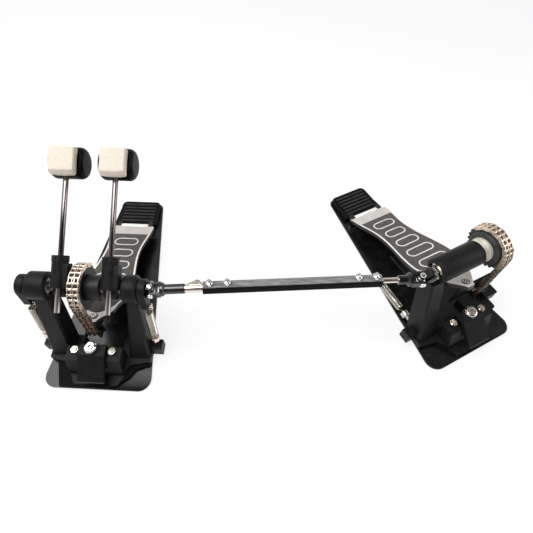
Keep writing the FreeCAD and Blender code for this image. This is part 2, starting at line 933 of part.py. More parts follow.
def heel_plate():
    rear_y = plate_heel_y - heel_margin
    right = [Vector(heel_front_half, heel_front_y, plate_top), Vector(heel_rear_half, rear_y, plate_top)]
    body = prism(mirrored(right), [1.0, heel_corner, heel_corner, 1.0], Vector(0, 0, heel_top - plate_top))
    ribs = []
    pitch = (rear_y - heel_front_y - 2 * rib_margin - rib_width) / (rib_count - 1)
    for index in range(rib_count):
        start = heel_front_y + rib_margin + index * pitch
        half = heel_rear_half - rib_margin
        ribs.append(block(-half, half, start, start + rib_width, heel_top - 1, heel_top + rib_height))
    inner = knuckle_half + seat_gap
    for side in (-1, 1):
        low = min(side * inner, side * (inner + ear_width))
        ear = block(low, low + ear_width, hinge_y, heel_front_y + 1, plate_top, hinge_z + knuckle_radius)
        barrel = along_x(low, low + ear_width, knuckle_radius, hinge_y, hinge_z)
        stand = block(low, low + ear_width, hinge_y - knuckle_radius, hinge_y, plate_top, hinge_z)
        ribs.extend([ear, barrel, stand])
    reach = hinge_pin_half + 1
    bore = along_x(-reach, reach, hinge_pin_radius + running_clearance, hinge_y, hinge_z)
    return body.fuse(ribs).cut(bore).removeSplitter()


def chain_bracket(chain_x, angle):
    # Bent strap under the toe whose two cheeks hold the last chain pin.
    inner_start, inner_end, outer_start, outer_end = link_widths()
    half = strand_spacing / 2 + outer_end + pin_overhang + seat_gap
    pin = chain_pins()[-1]
    wall_y = pin.y + bracket_behind
    cheeks = []
    for side in (-1, 1):
        low = min(side * half, side * (half + bracket_thickness))
        cheek_x = chain_x + low
        cheek = block(
            cheek_x, cheek_x + bracket_thickness, pin.y - link_plate_radius, wall_y + bracket_thickness,
            pin.z - link_plate_radius, pin.z + link_plate_radius
        )
        cheeks.append(cheek)
    reach = half + bracket_thickness
    slope = math.radians(angle)
    under_z = hinge_z + (hinge_y - wall_y) * math.tan(slope) + board_lift / math.cos(slope)
    wall = block(
        min(chain_x - reach, -reach), max(chain_x + reach, reach), wall_y, wall_y + bracket_thickness,
        pin.z - link_plate_radius, under_z - board_lift - bracket_thickness / 2
    )
    front_at = (hinge_y - wall_y) / math.cos(slope) + board_lift
    foot_plate = block(
        -reach, reach, -front_at, -front_at + bracket_foot_length, board_lift - bracket_thickness, board_lift
    )
    return on_board(foot_plate, angle).fuse(cheeks + [wall])


def fork_frame(axis, ears_up):
    # Frame of one half of a cross joint: its axis, and the direction of its ears.
    upright = Vector(0, 0, 1)
    across = upright.cross(axis)
    return (upright, across) if ears_up else (across, upright)


def slab(origin, first, second, third, ranges):
    # Box between given distances along three square directions.
    low = origin + first * ranges[0] + second * ranges[2] + third * ranges[4]
    corners = [
        low,
        low + second * (ranges[3] - ranges[2]),
        low + second * (ranges[3] - ranges[2]) + third * (ranges[5] - ranges[4]),
        low + third * (ranges[5] - ranges[4]),
    ]
    face = Part.Face(Part.makePolygon(corners + [corners[0]]))
    return face.extrude(first * (ranges[1] - ranges[0]))


def fork(centre, axis, ears_up, pins):
    # Two ears on a round base; the axis points from the joint into the shaft.
    ear_way, flat_way = fork_frame(axis, ears_up)
    body = cylinder(centre + axis * fork_reach, axis, fork_radius, fork_base)
    pieces = []
    holes = []
    for side in (-1, 1):
        low = min(side * ear_inner, side * ear_outer)
        high = max(side * ear_inner, side * ear_outer)
        ranges = (0, fork_reach + 1, -ear_half, ear_half, low, high)
        pieces.append(slab(centre, axis, flat_way, ear_way, ranges))
        pieces.append(cylinder(centre + ear_way * low, ear_way, ear_half, high - low))
        hole_start = centre + ear_way * (low - 1)
        holes.append(cylinder(hole_start, ear_way, cross_pin + running_clearance, high - low + 2))
    body = body.fuse(pieces)
    return body.cut(holes) if pins else body


def cross(centre, axis, ears_up):
    ear_way, flat_way = fork_frame(axis, ears_up)
    ball = Part.makeSphere(cross_ball, centre)
    pin = cylinder(centre - ear_way * ear_outer, ear_way, cross_pin, 2 * ear_outer)
    return ball.fuse(pin)


def link_ends():
    start = Vector(main_cross_x, 0, axle_z)
    turn = math.radians(second_turn)
    end_x = second_x + second_cross_x * math.cos(turn)
    end = Vector(end_x, second_y + second_cross_x * math.sin(turn), axle_z)
    axis = end - start
    length = axis.Length
    axis.normalize()
    return start, end, axis, length


def link_in_fork():
    # Fork at the main pedal with its round barrel.
    start, end, axis, length = link_ends()
    barrel = cylinder(start + axis * (fork_reach + fork_base), axis, barrel_radius, barrel_length)
    return fork(start, axis, False, False).fuse(barrel)


def link_out_fork():
    start, end, axis, length = link_ends()
    back = axis * -1
    barrel = cylinder(end + back * (fork_reach + fork_base), back, barrel_radius, barrel_length)
    return fork(end, back, False, False).fuse(barrel)


def link_places():
    start, end, axis, length = link_ends()
    sleeve_at = fork_reach + fork_base + barrel_length
    bar_at = sleeve_at + clamp_sleeve_length
    bar_to = length - (fork_reach + fork_base + barrel_length) - bar_gap
    return sleeve_at, bar_at, bar_to


def link_sleeve():
    start, end, axis, length = link_ends()
    sleeve_at, bar_at, bar_to = link_places()
    return cylinder(start + axis * sleeve_at, axis, clamp_sleeve_radius, clamp_sleeve_length)


def link_bar():
    start, end, axis, length = link_ends()
    sleeve_at, bar_at, bar_to = link_places()
    upright = Vector(0, 0, 1)
    across = upright.cross(axis)
    bar = slab(start, axis, across, upright, (bar_at, bar_to, -bar_half, bar_half, -bar_half, bar_half))
    edges = [edge for edge in bar.Edges if edge.Length > bar_to - bar_at - 1]
    bar = bar.makeFillet(bar_corner, edges)
    bore_start = start + axis * (bar_to - bar_bore_depth)
    bore = cylinder(bore_start, axis, inner_rod_radius + running_clearance, bar_bore_depth + 1)
    return bar.cut(bore)


def link_rod():
    start, end, axis, length = link_ends()
    sleeve_at, bar_at, bar_to = link_places()
    low = bar_to - inner_rod_depth
    high = bar_to + bar_gap
    return cylinder(start + axis * low, axis, inner_rod_radius, high - low)


def key_bolts():
    # Square headed bolts that lock the linkage, standing on the bar and on the sleeve.
    start, end, axis, length = link_ends()
    sleeve_at, bar_at, bar_to = link_places()
    upright = Vector(0, 0, 1)
    across = upright.cross(axis)
    places = [
        bar_at + key_bolt_inset,
        bar_at + key_bolt_inset + key_bolt_step,
        bar_to - key_bolt_inset - key_bolt_step,
        bar_to - key_bolt_inset,
    ]
    bolts = []
    for place in places:
        centre = start + axis * place + upright * bar_half
        body = cylinder(centre, upright, key_bolt_radius * 1.5, key_bolt_height / 3)
        half = key_bolt_flats / 2
        head = slab(
            centre, axis, across, upright, (-half, half, -half, half, key_bolt_height / 3, key_bolt_height)
        )
        bolts.append(body.fuse(head))
    return bolts


def second_axle():
    # Shaft that turns in the long tube, round in its bearings and hexagonal in the sprocket.
    low = second_cross_x + fork_reach + fork_base / 2
    high = second_chain_x + strand_spacing + tooth_half + axle_end_overhang
    bar = hex_x(low, high, hex_flats)
    lock_nut = hex_x(tube_start - seat_gap - lock_nut_length, tube_start - seat_gap, lock_nut_flats)
    return bar.fuse([lock_nut, along_x(tube_start + bearing_inset, tube_end - bearing_inset, journal_radius)])


def second_bearings():
    low = tube_start + bearing_inset
    high = tube_end - bearing_inset
    return [bearing(low, low + tube_bearing_length), bearing(high - tube_bearing_length, high)]


def second_collar():
    start = tube_end + seat_gap
    body = along_x(start, collar_end, collar_radius)
    return body.cut(hexagon_bore(start - 1, collar_end + 1))


def shaft_fork(cross_x, way):
    # Fork on the end of an axle, bored for the hexagonal bar.
    axis = Vector(way, 0, 0)
    body = fork(Vector(cross_x, 0, axle_z), axis, True, True)
    low = min(cross_x + way * (fork_reach + fork_base / 2), cross_x + way * (fork_reach + fork_base + 1))
    high = max(cross_x + way * (fork_reach + fork_base / 2), cross_x + way * (fork_reach + fork_base + 1))
    return body.cut(hexagon_bore(low, high))


def biarc(start, start_way, end, end_way):
    # Two arcs that leave and arrive in the given directions.
    span = end - start
    total = start_way + end_way
    opening = 2 * (1 - start_way.dot(end_way))
    along = span.dot(total)
    reach = (-along + math.sqrt(along * along + opening * span.dot(span))) / opening
    joint = (start + end + (start_way - end_way) * reach) * 0.5
    edges = []
    for low, high, way in ((start, joint, start_way), (joint, end, None)):
        chord = high - low
        flat = chord.normalize()
        chord_length = (high - low).Length
        leaving = way if way is not None else end_way
        lean = math.acos(max(-1.0, min(1.0, leaving.dot(flat))))
        side = leaving - flat * leaving.dot(flat)
        side.normalize()
        if way is None:
            side = side * -1
        middle = (low + high) * 0.5 + side * (chord_length / 2 * math.tan(lean / 2))
        edges.append(Part.Arc(low, middle, high).toShape())
    return edges


def coil(low, high):
    # One unbroken wire: a straight end on the axis, curls, and a straight end again.
    axis = high - low
    length = axis.Length
    axis.normalize()
    first = axis.cross(Vector(1, 0, 0))
    first.normalize()
    second = axis.cross(first)
    curls = int((length - 2 * (spring_tail + spring_lead)) / spring_pitch)
    pitch = (length - 2 * (spring_tail + spring_lead)) / curls
    quarter = math.pi / 2
    slope = math.hypot(2 * math.pi * spring_radius, pitch)

    def place(turn):
        height = spring_tail + spring_lead + pitch * turn / (2 * math.pi)
        side = first * math.cos(turn) + second * math.sin(turn)
        return low + axis * height + side * spring_radius

    def heading(turn):
        flat = second * math.cos(turn) - first * math.sin(turn)
        return (flat * (2 * math.pi * spring_radius) + axis * pitch) * (1 / slope)

    edges = [Part.makeLine(low, low + axis * spring_tail)]
    edges += biarc(low + axis * spring_tail, axis, place(0), heading(0))
    points = []
    for step in range(4 * curls):
        start = quarter * step
        end = quarter * (step + 1)
        edges += biarc(place(start), heading(start), place(end), heading(end))
    last = 2 * math.pi * curls
    edges += biarc(place(last), heading(last), high - axis * spring_tail, axis)
    edges.append(Part.makeLine(high - axis * spring_tail, high))
    path = Part.Wire(edges)
    profile = Part.Wire(Part.makeCircle(spring_wire / 2, low, axis))
    wire = path.makePipeShell([profile], True, False)
    for edge in edges:
        count = max(2, int(edge.Length / (spring_wire / 2)))
        points.extend(edge.discretize(count))
    least = length
    for index, point in enumerate(points):
        for other in points[index + 12:]:
            gap = (point - other).Length - spring_wire
            least = min(least, gap)
    print("least gap between curls", round(least, 3))
    return wire


def main_spring(side):
    low, high, direction = spring_axis(side)
    return coil(low + direction * seat_gap, high - direction * (rocker_tip_radius + seat_gap))


def second_spring_line():
    low = Vector(second_spring_x, second_spring_front, second_spring_z)
    high = Vector(second_spring_x, second_spring_rear, second_spring_z)
    return low, high


def second_spring():
    low, high = second_spring_line()
    return coil(low, high)


def second_spring_bolt():
    # Spring bolt of the second pedal, lying back on the plate behind its lug.
    low, high = second_spring_line()
    way = Vector(0, -1, 0)
    start = low + way * seat_gap
    nut = cylinder(start, way, spring_nut_radius, spring_nut_length)
    bolt_top = second_spring_z + spring_bolt_radius
    share = (bolt_top - plate_top) / (axle_z - post_top_drop - plate_top)
    post_rear = post_foot_rear + (post_top_half_y - post_foot_rear) * share
    bolt = cylinder(start, way, spring_bolt_radius, start.y - post_rear - seat_gap)
    return nut.fuse(bolt)


outer = outer_link()
inner = inner_link()
wrap_end = wrap_links
chain_end = wrap_links + arc_links + run_links

# Main pedal, fixed pieces
save("main_rubber_mat", [rubber_mat()])
save("main_base_plate", [base_plate()])
save("main_frame", [main_frame()])
save("main_frame_nuts", frame_nuts())
save("main_bearings", [
    bearing(left_boss_start + bearing_inset, left_boss_end - bearing_inset),
    bearing(right_boss_start + bearing_inset, right_boss_end - bearing_inset),
])
save("main_heel_plate", [heel_plate()])
save("main_hinge_pin", [hinge_pin()])
save("main_spring_bolts", [spring_bolt(-1), spring_bolt(1)])
save("main_left_spring", [main_spring(-1)])
save("main_right_spring", [main_spring(1)])

# Hoop clamp
save("main_clamp_jaw", [clamp_jaw()])
save("main_clamp_bolt", [clamp_bolt()])

# Axle of the main footboard with the left beater
save("main_axle", [main_axle()])
save("main_sprocket", [main_sprocket()])
save("main_chain_wrap", chain_links(0, wrap_end, main_chain_x, outer, inner))
save("left_beater_hub", [hub(left_rod_x)])
save("left_rocker", [left_rocker()])
save("left_beater_rod", [beater_rod(left_rod_x)])
save("left_beater_body", [beater_body(left_rod_x)])
save("left_beater_felt", [beater_felt(left_rod_x)])

# Shaft of the second pedal with the right beater
save("right_beater_shaft", [second_shaft()])
save("right_beater_hub", [hub(right_rod_x)])
save("right_rocker", [right_rocker()])
save("right_beater_rod", [beater_rod(right_rod_x)])
save("right_beater_body", [beater_body(right_rod_x)])
save("right_beater_felt", [beater_felt(right_rod_x)])
save("main_joint_fork", [shaft_fork(main_cross_x, -1)])
save("main_joint_cross", [cross(Vector(main_cross_x, 0, axle_z), Vector(-1, 0, 0), True)])

# Main footboard
save("main_footboard", [footboard(main_board_angle, main_toe_extra)])
save("main_toe_screw", [toe_screw(main_board_angle, main_toe_extra)])
save("main_hinge_knuckle", [hinge_knuckle(main_board_angle)])
save("main_chain_bracket", [chain_bracket(main_chain_x, main_board_angle)])
save("main_chain_run", chain_links(wrap_end, chain_end, main_chain_x, outer, inner))

# Linkage
save("link_in_fork", [link_in_fork()])
save("link_sleeve", [link_sleeve()])
save("link_bar", [link_bar()])
save("link_key_bolts", key_bolts())
save("link_rod", [link_rod()])
save("link_out_fork", [link_out_fork()])

# Second pedal
save("second_rubber_mat", [rubber_mat()], True)
save("second_base_plate", [base_plate()], True)
save("second_frame", [second_frame()], True)
save("second_frame_nuts", frame_nuts() + [clamp_bolt()], True)
save("second_bearings", second_bearings(), True)
save("second_heel_plate", [heel_plate()], True)
save("second_hinge_pin", [hinge_pin()], True)
save("second_spring_bolt", [second_spring_bolt()], True)
save("second_spring", [second_spring()], True)
save("second_clamp_jaw", [clamp_jaw()], True)
save("second_axle", [second_axle()], True)
save("second_collar", [second_collar()], True)
save("second_sprocket", [
    sprocket(second_chain_x, collar_end + seat_gap, second_chain_x + strand_spacing)
], True)
save("second_chain_wrap", chain_links(0, wrap_end, second_chain_x, outer, inner), True)
save("second_joint_fork", [shaft_fork(second_cross_x, 1)], True)
save("second_joint_cross", [cross(Vector(second_cross_x, 0, axle_z), Vector(1, 0, 0), True)], True)
save("second_footboard", [footboard(second_board_angle, second_toe_extra)], True)
save("second_toe_screw", [toe_screw(second_board_angle, second_toe_extra)], True)
save("second_hinge_knuckle", [hinge_knuckle(second_board_angle)], True)
save("second_chain_bracket", [chain_bracket(second_chain_x, second_board_angle)], True)
save("second_chain_run", chain_links(wrap_end, chain_end, second_chain_x, outer, inner), True)
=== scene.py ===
import json
import math
import bpy
from mathutils import Matrix, Vector, noise


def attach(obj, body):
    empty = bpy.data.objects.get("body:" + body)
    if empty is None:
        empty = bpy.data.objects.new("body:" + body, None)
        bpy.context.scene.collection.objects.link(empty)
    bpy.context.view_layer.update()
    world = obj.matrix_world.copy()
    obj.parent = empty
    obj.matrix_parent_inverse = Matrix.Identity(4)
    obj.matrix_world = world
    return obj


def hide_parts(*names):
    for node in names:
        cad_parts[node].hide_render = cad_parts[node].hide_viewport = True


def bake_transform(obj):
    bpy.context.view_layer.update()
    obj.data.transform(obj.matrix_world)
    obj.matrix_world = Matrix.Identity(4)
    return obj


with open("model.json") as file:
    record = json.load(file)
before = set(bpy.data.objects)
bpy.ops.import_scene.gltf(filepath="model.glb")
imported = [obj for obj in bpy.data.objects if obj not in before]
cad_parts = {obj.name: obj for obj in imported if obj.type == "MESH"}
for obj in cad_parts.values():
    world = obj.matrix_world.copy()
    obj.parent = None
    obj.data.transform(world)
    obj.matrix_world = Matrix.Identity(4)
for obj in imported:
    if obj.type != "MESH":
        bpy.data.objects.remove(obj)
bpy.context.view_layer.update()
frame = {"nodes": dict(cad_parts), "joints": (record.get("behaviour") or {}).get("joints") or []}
nodes = frame["nodes"]
joints = {joint["name"]: joint for joint in frame["joints"]}
scene = bpy.context.scene


def joint_place(name):
    return Vector(joints[name]["pos_m"])


def joint_axis(name):
    return Vector(joints[name]["axis"])


# Places and directions from the frame, in metres like all sizes here
RIGHT = Vector((1, 0, 0))
UPRIGHT = Vector((0, 0, 1))
AXLE = joint_place("main_axle_turn")
MAIN_HINGE = joint_place("main_board_press")
SECOND_PLACE = joint_place("second_axle_turn")
SECOND_AXIS = joint_axis("second_board_press")
BEATER_UP = joint_axis("left_beater_height")
BEATER_OUT = Vector((0, -BEATER_UP.z, BEATER_UP.y))
LINK_START = joint_place("link_outer_turn")
LINK_END = joint_place("link_inner_turn")
LINK_AXIS = joint_axis("link_outer_turn")
LINK_ACROSS = UPRIGHT.cross(LINK_AXIS)
MAIN = Matrix.Identity(4)
SECOND = Matrix.Translation((SECOND_PLACE.x, SECOND_PLACE.y, 0)) @ Matrix.Rotation(
    math.atan2(SECOND_AXIS.y, SECOND_AXIS.x), 4, "Z")
SIDES = (("main", MAIN), ("second", SECOND))
BEATER_DRIVES = {"left": "main_drive", "right": "right_drive"}

# Camera, from the photograph's perspective
CAMERA_PLACE = Vector((0.2651, -0.2817, 0.6883))
CAMERA_YAW = -0.053
CAMERA_DOWN = 0.955
CAMERA_ROLL = 0.006
FOCAL_PIXELS = 413.09
CENTRE_SHIFT = (-14.32, -25.75)
IMAGE_PIXELS = 533
SENSOR = 36.0
CLIP_START = 0.01

# Grain of the finishes: relief in metres, noise detail, and where the noise turns from dark to light
RELIEF_DEPTH = 0.0005
FINE_DETAIL = 4.0
BROAD_DETAIL = 3.0
BROAD_RATIO = 14
TONE_SPAN = (0.3, 0.72)
GLOSS_SPAN = (0.3, 0.7)

# Where painted shade, painted sheen and painted reflection change a finish with place or slant
PLATE_SHADE_Y = (-0.100, -0.070)
PLATE_SHADE_X = (0.030, -0.020)
PLATE_SPECULAR = (0.03, 0.55)
BOARD_SHADE_SLANT = (0.35, 0.75)
BAR_SHEEN_SLANT = (0.55, 0.92)
ROD_REFLECTION_LEVELS = (AXLE.z - 0.006, AXLE.z + 0.030)
TREAD_SHADE_LEVELS = (0.0142, 0.0152)
CHAIN_SHADE_LEVELS = (0.140, 0.176)


def new_material(name):
    material = bpy.data.materials.new(name)
    material.use_nodes = True
    tree = material.node_tree
    return material, tree, tree.nodes["Principled BSDF"]


def add(tree, kind, inputs=None, **settings):
    node = tree.nodes.new(kind)
    for key, value in settings.items():
        setattr(node, key, value)
    for key, value in (inputs or {}).items():
        node.inputs[key].default_value = value
    return node


def grain_noise(tree, scale, detail, stretch=(1, 1, 1)):
    # Noise fixed to the object; a stretch below 1 draws it out along that axis.
    place = add(tree, "ShaderNodeTexCoord")
    mapping = add(tree, "ShaderNodeMapping", {"Scale": stretch})
    speckle = add(tree, "ShaderNodeTexNoise", {"Scale": scale, "Detail": detail})
    tree.links.new(place.outputs["Object"], mapping.inputs["Vector"])
    tree.links.new(mapping.outputs["Vector"], speckle.inputs["Vector"])
    return speckle.outputs["Fac"]


def colour_ramp(tree, value, span, dark, light):
    node = add(tree, "ShaderNodeValToRGB")
    for element, position, colour in zip(node.color_ramp.elements, span, (dark, light)):
        element.position = position
        element.color = (*colour, 1)
    tree.links.new(value, node.inputs["Fac"])
    return node.outputs["Color"]


def remap(tree, value, from_span=(0, 1), to_span=(0, 1)):
    node = add(tree, "ShaderNodeMapRange", {
        "From Min": from_span[0], "From Max": from_span[1], "To Min": to_span[0], "To Max": to_span[1],
    })
    tree.links.new(value, node.inputs["Value"])
    return node.outputs["Result"]


def relief(tree, height, strength):
    node = add(tree, "ShaderNodeBump", {"Strength": strength, "Distance": RELIEF_DEPTH})
    tree.links.new(height, node.inputs["Height"])
    return node.outputs["Normal"]


def surface_value(tree, kind, axis):
    # One coordinate of a point's place on the object, or of the way that its surface faces.
    place = add(tree, "ShaderNodeTexCoord")
    split = add(tree, "ShaderNodeSeparateXYZ")
    tree.links.new(place.outputs[kind], split.inputs["Vector"])
    return split.outputs[axis]


def second_colour(material, kind, span):
    # Input for a second colour, which shows where the surface lies low or turns away from upright.
    tree = material.node_tree
    base = tree.nodes["Principled BSDF"].inputs["Base Color"]
    mix = add(tree, "ShaderNodeMix", data_type="RGBA")
    tree.links.new(remap(tree, surface_value(tree, kind, "Z"), span), mix.inputs["Factor"])
    tree.links.new(base.links[0].from_socket, mix.inputs["B"])
    tree.links.new(mix.outputs["Result"], base)
    return mix.inputs["A"]


def finish(name, dark, light, rough, grain, bump, metal=0.0, specular=0.5, coat=0.0, sheen=0.0,
           stretch=(1, 1, 1)):
    # Surface with a broad two tone mottle, uneven gloss and a fine relief.
    material, tree, shader = new_material(name)
    levels = {"Metallic": metal, "Specular IOR Level": specular, "Coat Weight": coat, "Sheen Weight": sheen}
    for key, level in levels.items():
        shader.inputs[key].default_value = level
    fine = grain_noise(tree, grain, FINE_DETAIL, stretch)
    broad = grain_noise(tree, grain / BROAD_RATIO, BROAD_DETAIL, stretch)
    tree.links.new(colour_ramp(tree, broad, TONE_SPAN, dark, light), shader.inputs["Base Color"])
    tree.links.new(remap(tree, broad, GLOSS_SPAN, rough), shader.inputs["Roughness"])
    tree.links.new(relief(tree, fine, bump), shader.inputs["Normal"])
    return material


def black_finish(name, dark, light, rough, **more):
    # Black with a trace of blue.
    cool = 1.03
    return finish(name, (dark, dark, dark * cool), (light, light, light * cool), rough, **more)


def plate_finish():
    # Gloss black steel, duller at the right front: painted shade that stands in for the dark side of the
    # room mirrored there.
    material = black_finish(
        "black_base_plate", 0.003, 0.006, (0.18, 0.28), grain=900, bump=0.04, specular=0.45)
    tree = material.node_tree
    # Mask for the painted shade: specular level drops towards the right front of the plate.
    either = add(tree, "ShaderNodeMath", operation="MAXIMUM")
    tree.links.new(remap(tree, surface_value(tree, "Object", "Y"), PLATE_SHADE_Y), either.inputs[0])
    tree.links.new(remap(tree, surface_value(tree, "Object", "X"), PLATE_SHADE_X), either.inputs[1])
    level = remap(tree, either.outputs[0], to_span=PLATE_SPECULAR)
    tree.links.new(level, tree.nodes["Principled BSDF"].inputs["Specular IOR Level"])
    return material


def sheen_painted_bar():
    # Black square bar whose upper side is painted streaky grey as a painted sheen where it faces up; its
    # sides stay black.
    material, tree, shader = new_material("black_bar_painted_sheen")
    shader.inputs["Specular IOR Level"].default_value = 0.06
    streaks = grain_noise(tree, scale=420.0, detail=6.0, stretch=(0.12, 1, 1))
    grey = colour_ramp(tree, streaks, (0.32, 0.70), (0.11, 0.11, 0.11), (0.30, 0.30, 0.295))
    tree.links.new(grey, shader.inputs["Base Color"])
    tree.links.new(remap(tree, streaks, to_span=(0.24, 0.46)), shader.inputs["Roughness"])
    tree.links.new(relief(tree, streaks, strength=0.08), shader.inputs["Normal"])
    # Sides that turn away from upright are black; the grey on top is painted sheen.
    second_colour(material, "Normal", BAR_SHEEN_SLANT).default_value = (0.003, 0.003, 0.003, 1)
    return material


def chain_with_painted_shade():
    # Pale gold plating, painted darker low down towards the toe as painted shade.
    material, tree, shader = new_material("pale_gold_chain")
    shader.inputs["Metallic"].default_value = 0.75
    patches = grain_noise(tree, scale=260.0, detail=4.0)
    pale = colour_ramp(tree, patches, (0.3, 0.7), (0.70, 0.56, 0.43), (0.94, 0.82, 0.69))
    # Darker copy of the gold for the low run: painted shade.
    shaded_low = colour_ramp(tree, patches, (0.35, 0.7), (0.10, 0.07, 0.05), (0.44, 0.33, 0.24))
    tree.links.new(pale, shader.inputs["Base Color"])
    tree.links.new(remap(tree, patches, to_span=(0.20, 0.36)), shader.inputs["Roughness"])
    tree.links.new(shaded_low, second_colour(material, "Object", CHAIN_SHADE_LEVELS))
    return material


CASTING = black_finish(
    "satin_black_casting", 0.006, 0.012, (0.40, 0.54), grain=1500, bump=0.22, specular=0.16)
MATTE_CASTING = black_finish(
    "matte_black_casting", 0.003, 0.006, (0.5, 0.62), grain=1500, bump=0.22, specular=0.05)
RUBBER = black_finish("black_rubber", 0.006, 0.011, (0.7, 0.85), grain=1200, bump=0.3, specular=0.15)
TREAD = black_finish("black_tread", 0.022, 0.040, (0.42, 0.58), grain=1300, bump=0.25, specular=0.12)
GLOSS_BLACK = black_finish(
    "gloss_black_steel", 0.004, 0.009, (0.16, 0.26), grain=700, bump=0.03, specular=0.6, coat=0.35)
SPROCKET = black_finish("dark_sprocket", 0.006, 0.018, (0.34, 0.48), grain=900, bump=0.1, specular=0.25)
GREY_SPROCKET = black_finish("grey_sprocket", 0.034, 0.056, (0.36, 0.5), grain=900, bump=0.1, specular=0.3)
PLASTIC = black_finish("black_plastic", 0.002, 0.004, (0.26, 0.36), grain=900, bump=0.05, specular=0.05)
DARK_RING = black_finish("dark_ring", 0.012, 0.020, (0.3, 0.4), grain=900, bump=0.05, specular=0.3)
CHROME = finish(
    "bright_chrome", (0.78, 0.77, 0.76), (0.90, 0.89, 0.88), (0.06, 0.14), grain=500, bump=0.01, metal=1.0)
# Plated rods whose dark brown tone is a painted reflection of the dark side of the room.
ROD = finish(
    "rod_plating_painted_reflection", (0.15, 0.13, 0.128), (0.22, 0.195, 0.19), (0.10, 0.18), grain=500, bump=0.01,
    metal=1.0)
SPRING = finish(
    "spring_plating", (0.54, 0.51, 0.44), (0.70, 0.67, 0.60), (0.16, 0.26), grain=500, bump=0.02, metal=1.0)
NICKEL = finish(
    "warm_nickel", (0.74, 0.69, 0.61), (0.88, 0.84, 0.76), (0.14, 0.26), grain=500, bump=0.02, metal=1.0)
ROSE_NICKEL = finish(
    "rose_nickel", (0.80, 0.64, 0.57), (0.92, 0.80, 0.73), (0.16, 0.28), grain=500, bump=0.02, metal=1.0)
STEEL = finish(
    "ground_steel", (0.60, 0.58, 0.55), (0.76, 0.74, 0.70), (0.22, 0.34), grain=700, bump=0.04, metal=1.0,
    stretch=(0.1, 1, 1))
ALLOY = finish(
    "silver_paint", (0.85, 0.81, 0.77), (0.94, 0.90, 0.86), (0.34, 0.46), grain=900, bump=0.06, metal=0.15)
ZINC = finish(
    "white_zinc", (0.90, 0.90, 0.89), (0.96, 0.96, 0.95), (0.28, 0.40), grain=600, bump=0.04, metal=0.1)
CREAM_ZINC = finish(
    "cream_zinc", (0.66, 0.63, 0.55), (0.80, 0.77, 0.69), (0.30, 0.42), grain=600, bump=0.04, metal=0.3)
FELT = finish(
    "cream_felt", (0.73, 0.655, 0.55), (0.79, 0.72, 0.625), (0.9, 1.0), grain=2600, bump=0.6, specular=0.05,
    sheen=0.2)
PANEL = finish(
    "grey_panel", (0.078, 0.072, 0.068), (0.108, 0.100, 0.094), (0.5, 0.66), grain=1600, bump=0.25,
    specular=0.2)
OUTLINE = finish("pale_outline", (0.66, 0.64, 0.62), (0.78, 0.76, 0.74), (0.4, 0.55), grain=900, bump=0.05)
BAND = finish(
    "grey_silver_paint", (0.52, 0.49, 0.46), (0.60, 0.57, 0.54), (0.36, 0.48), grain=900, bump=0.06,
    specular=0.3)
PLATE = plate_finish()
BAR = sheen_painted_bar()
GOLD = chain_with_painted_shade()

# Painted shade on the sides of the boards, painted reflection at the pale lower ends of the rods, and
# painted shade on the ground between the ribs of the heel plates
second_colour(ALLOY, "Normal", BOARD_SHADE_SLANT).default_value = (0.012, 0.012, 0.012, 1)
second_colour(ROD, "Object", ROD_REFLECTION_LEVELS).default_value = (0.62, 0.59, 0.57, 1)
second_colour(TREAD, "Object", TREAD_SHADE_LEVELS).default_value = (0.003, 0.003, 0.003, 1)

# Finish and edge width of each CAD node, by the longest of these names that its own name ends in
NODE_FINISH = {
    "rubber_mat": RUBBER, "base_plate": PLATE, "frame": CASTING, "clamp_jaw": CASTING, "beater_hub": CASTING,
    "rocker": CASTING, "heel_plate": TREAD, "frame_nuts": NICKEL, "clamp_bolt": CHROME, "hinge_pin": STEEL,
    "spring_bolts": ROSE_NICKEL, "spring_bolt": STEEL, "beater_rod": ROD, "toe_screw": CHROME,
    "link_key_bolts": CHROME, "joint_cross": NICKEL, "link_sleeve": NICKEL, "link_rod": NICKEL,
    "bearings": STEEL, "axle": STEEL, "second_axle": NICKEL, "beater_shaft": STEEL, "collar": CREAM_ZINC,
    "fork": GLOSS_BLACK, "link_bar": BAR, "sprocket": SPROCKET, "second_sprocket": GREY_SPROCKET,
    "chain_wrap": GOLD, "chain_run": GOLD, "beater_body": PLASTIC, "beater_felt": FELT, "footboard": ALLOY,
    "hinge_knuckle": ZINC, "chain_bracket": CASTING, "spring": SPRING,
}
EDGE_WIDTH = {
    "frame": 0.0015, "clamp_jaw": 0.0012, "footboard": 0.0012, "heel_plate": 0.001, "base_plate": 0.0008,
}
EDGE_DEFAULT = 0.0004
EDGE_ANGLE = math.radians(38)
WELD_REACH = 0.000005


def best_key(table, name):
    matches = [key for key in table if name == key or name.endswith("_" + key)]
    return max(matches, key=len) if matches else None


def dress_nodes():
    for name, node in nodes.items():
        node.data.materials.clear()
        node.data.materials.append(NODE_FINISH[best_key(NODE_FINISH, name)])
        node.modifiers.new("weld", "WELD").merge_threshold = WELD_REACH
        edge = node.modifiers.new("edge", "BEVEL")
        edge.width = EDGE_WIDTH.get(best_key(EDGE_WIDTH, name), EDGE_DEFAULT)
        edge.segments = 2
        edge.limit_method = "ANGLE"
        edge.angle_limit = EDGE_ANGLE
        edge.harden_normals = True


def mesh_piece(name, points, faces, material, crease=35):
    mesh = bpy.data.meshes.new(name)
    mesh.from_pydata([tuple(point) for point in points], [], faces)
    mesh.materials.append(material)
    for face in mesh.polygons:
        face.use_smooth = True
    mesh.set_sharp_from_angle(angle=math.radians(crease))
    piece = bpy.data.objects.new(name, mesh)
    scene.collection.objects.link(piece)
    return piece


def placed_piece(name, points, faces, material, place, body):
    piece = mesh_piece(name, [place @ point for point in points], faces, material)
    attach(piece, body)
    return piece


def merge(points, faces, more_points, more_faces):
    base = len(points)
    points.extend(more_points)
    faces.extend(tuple(index + base for index in face) for face in more_faces)


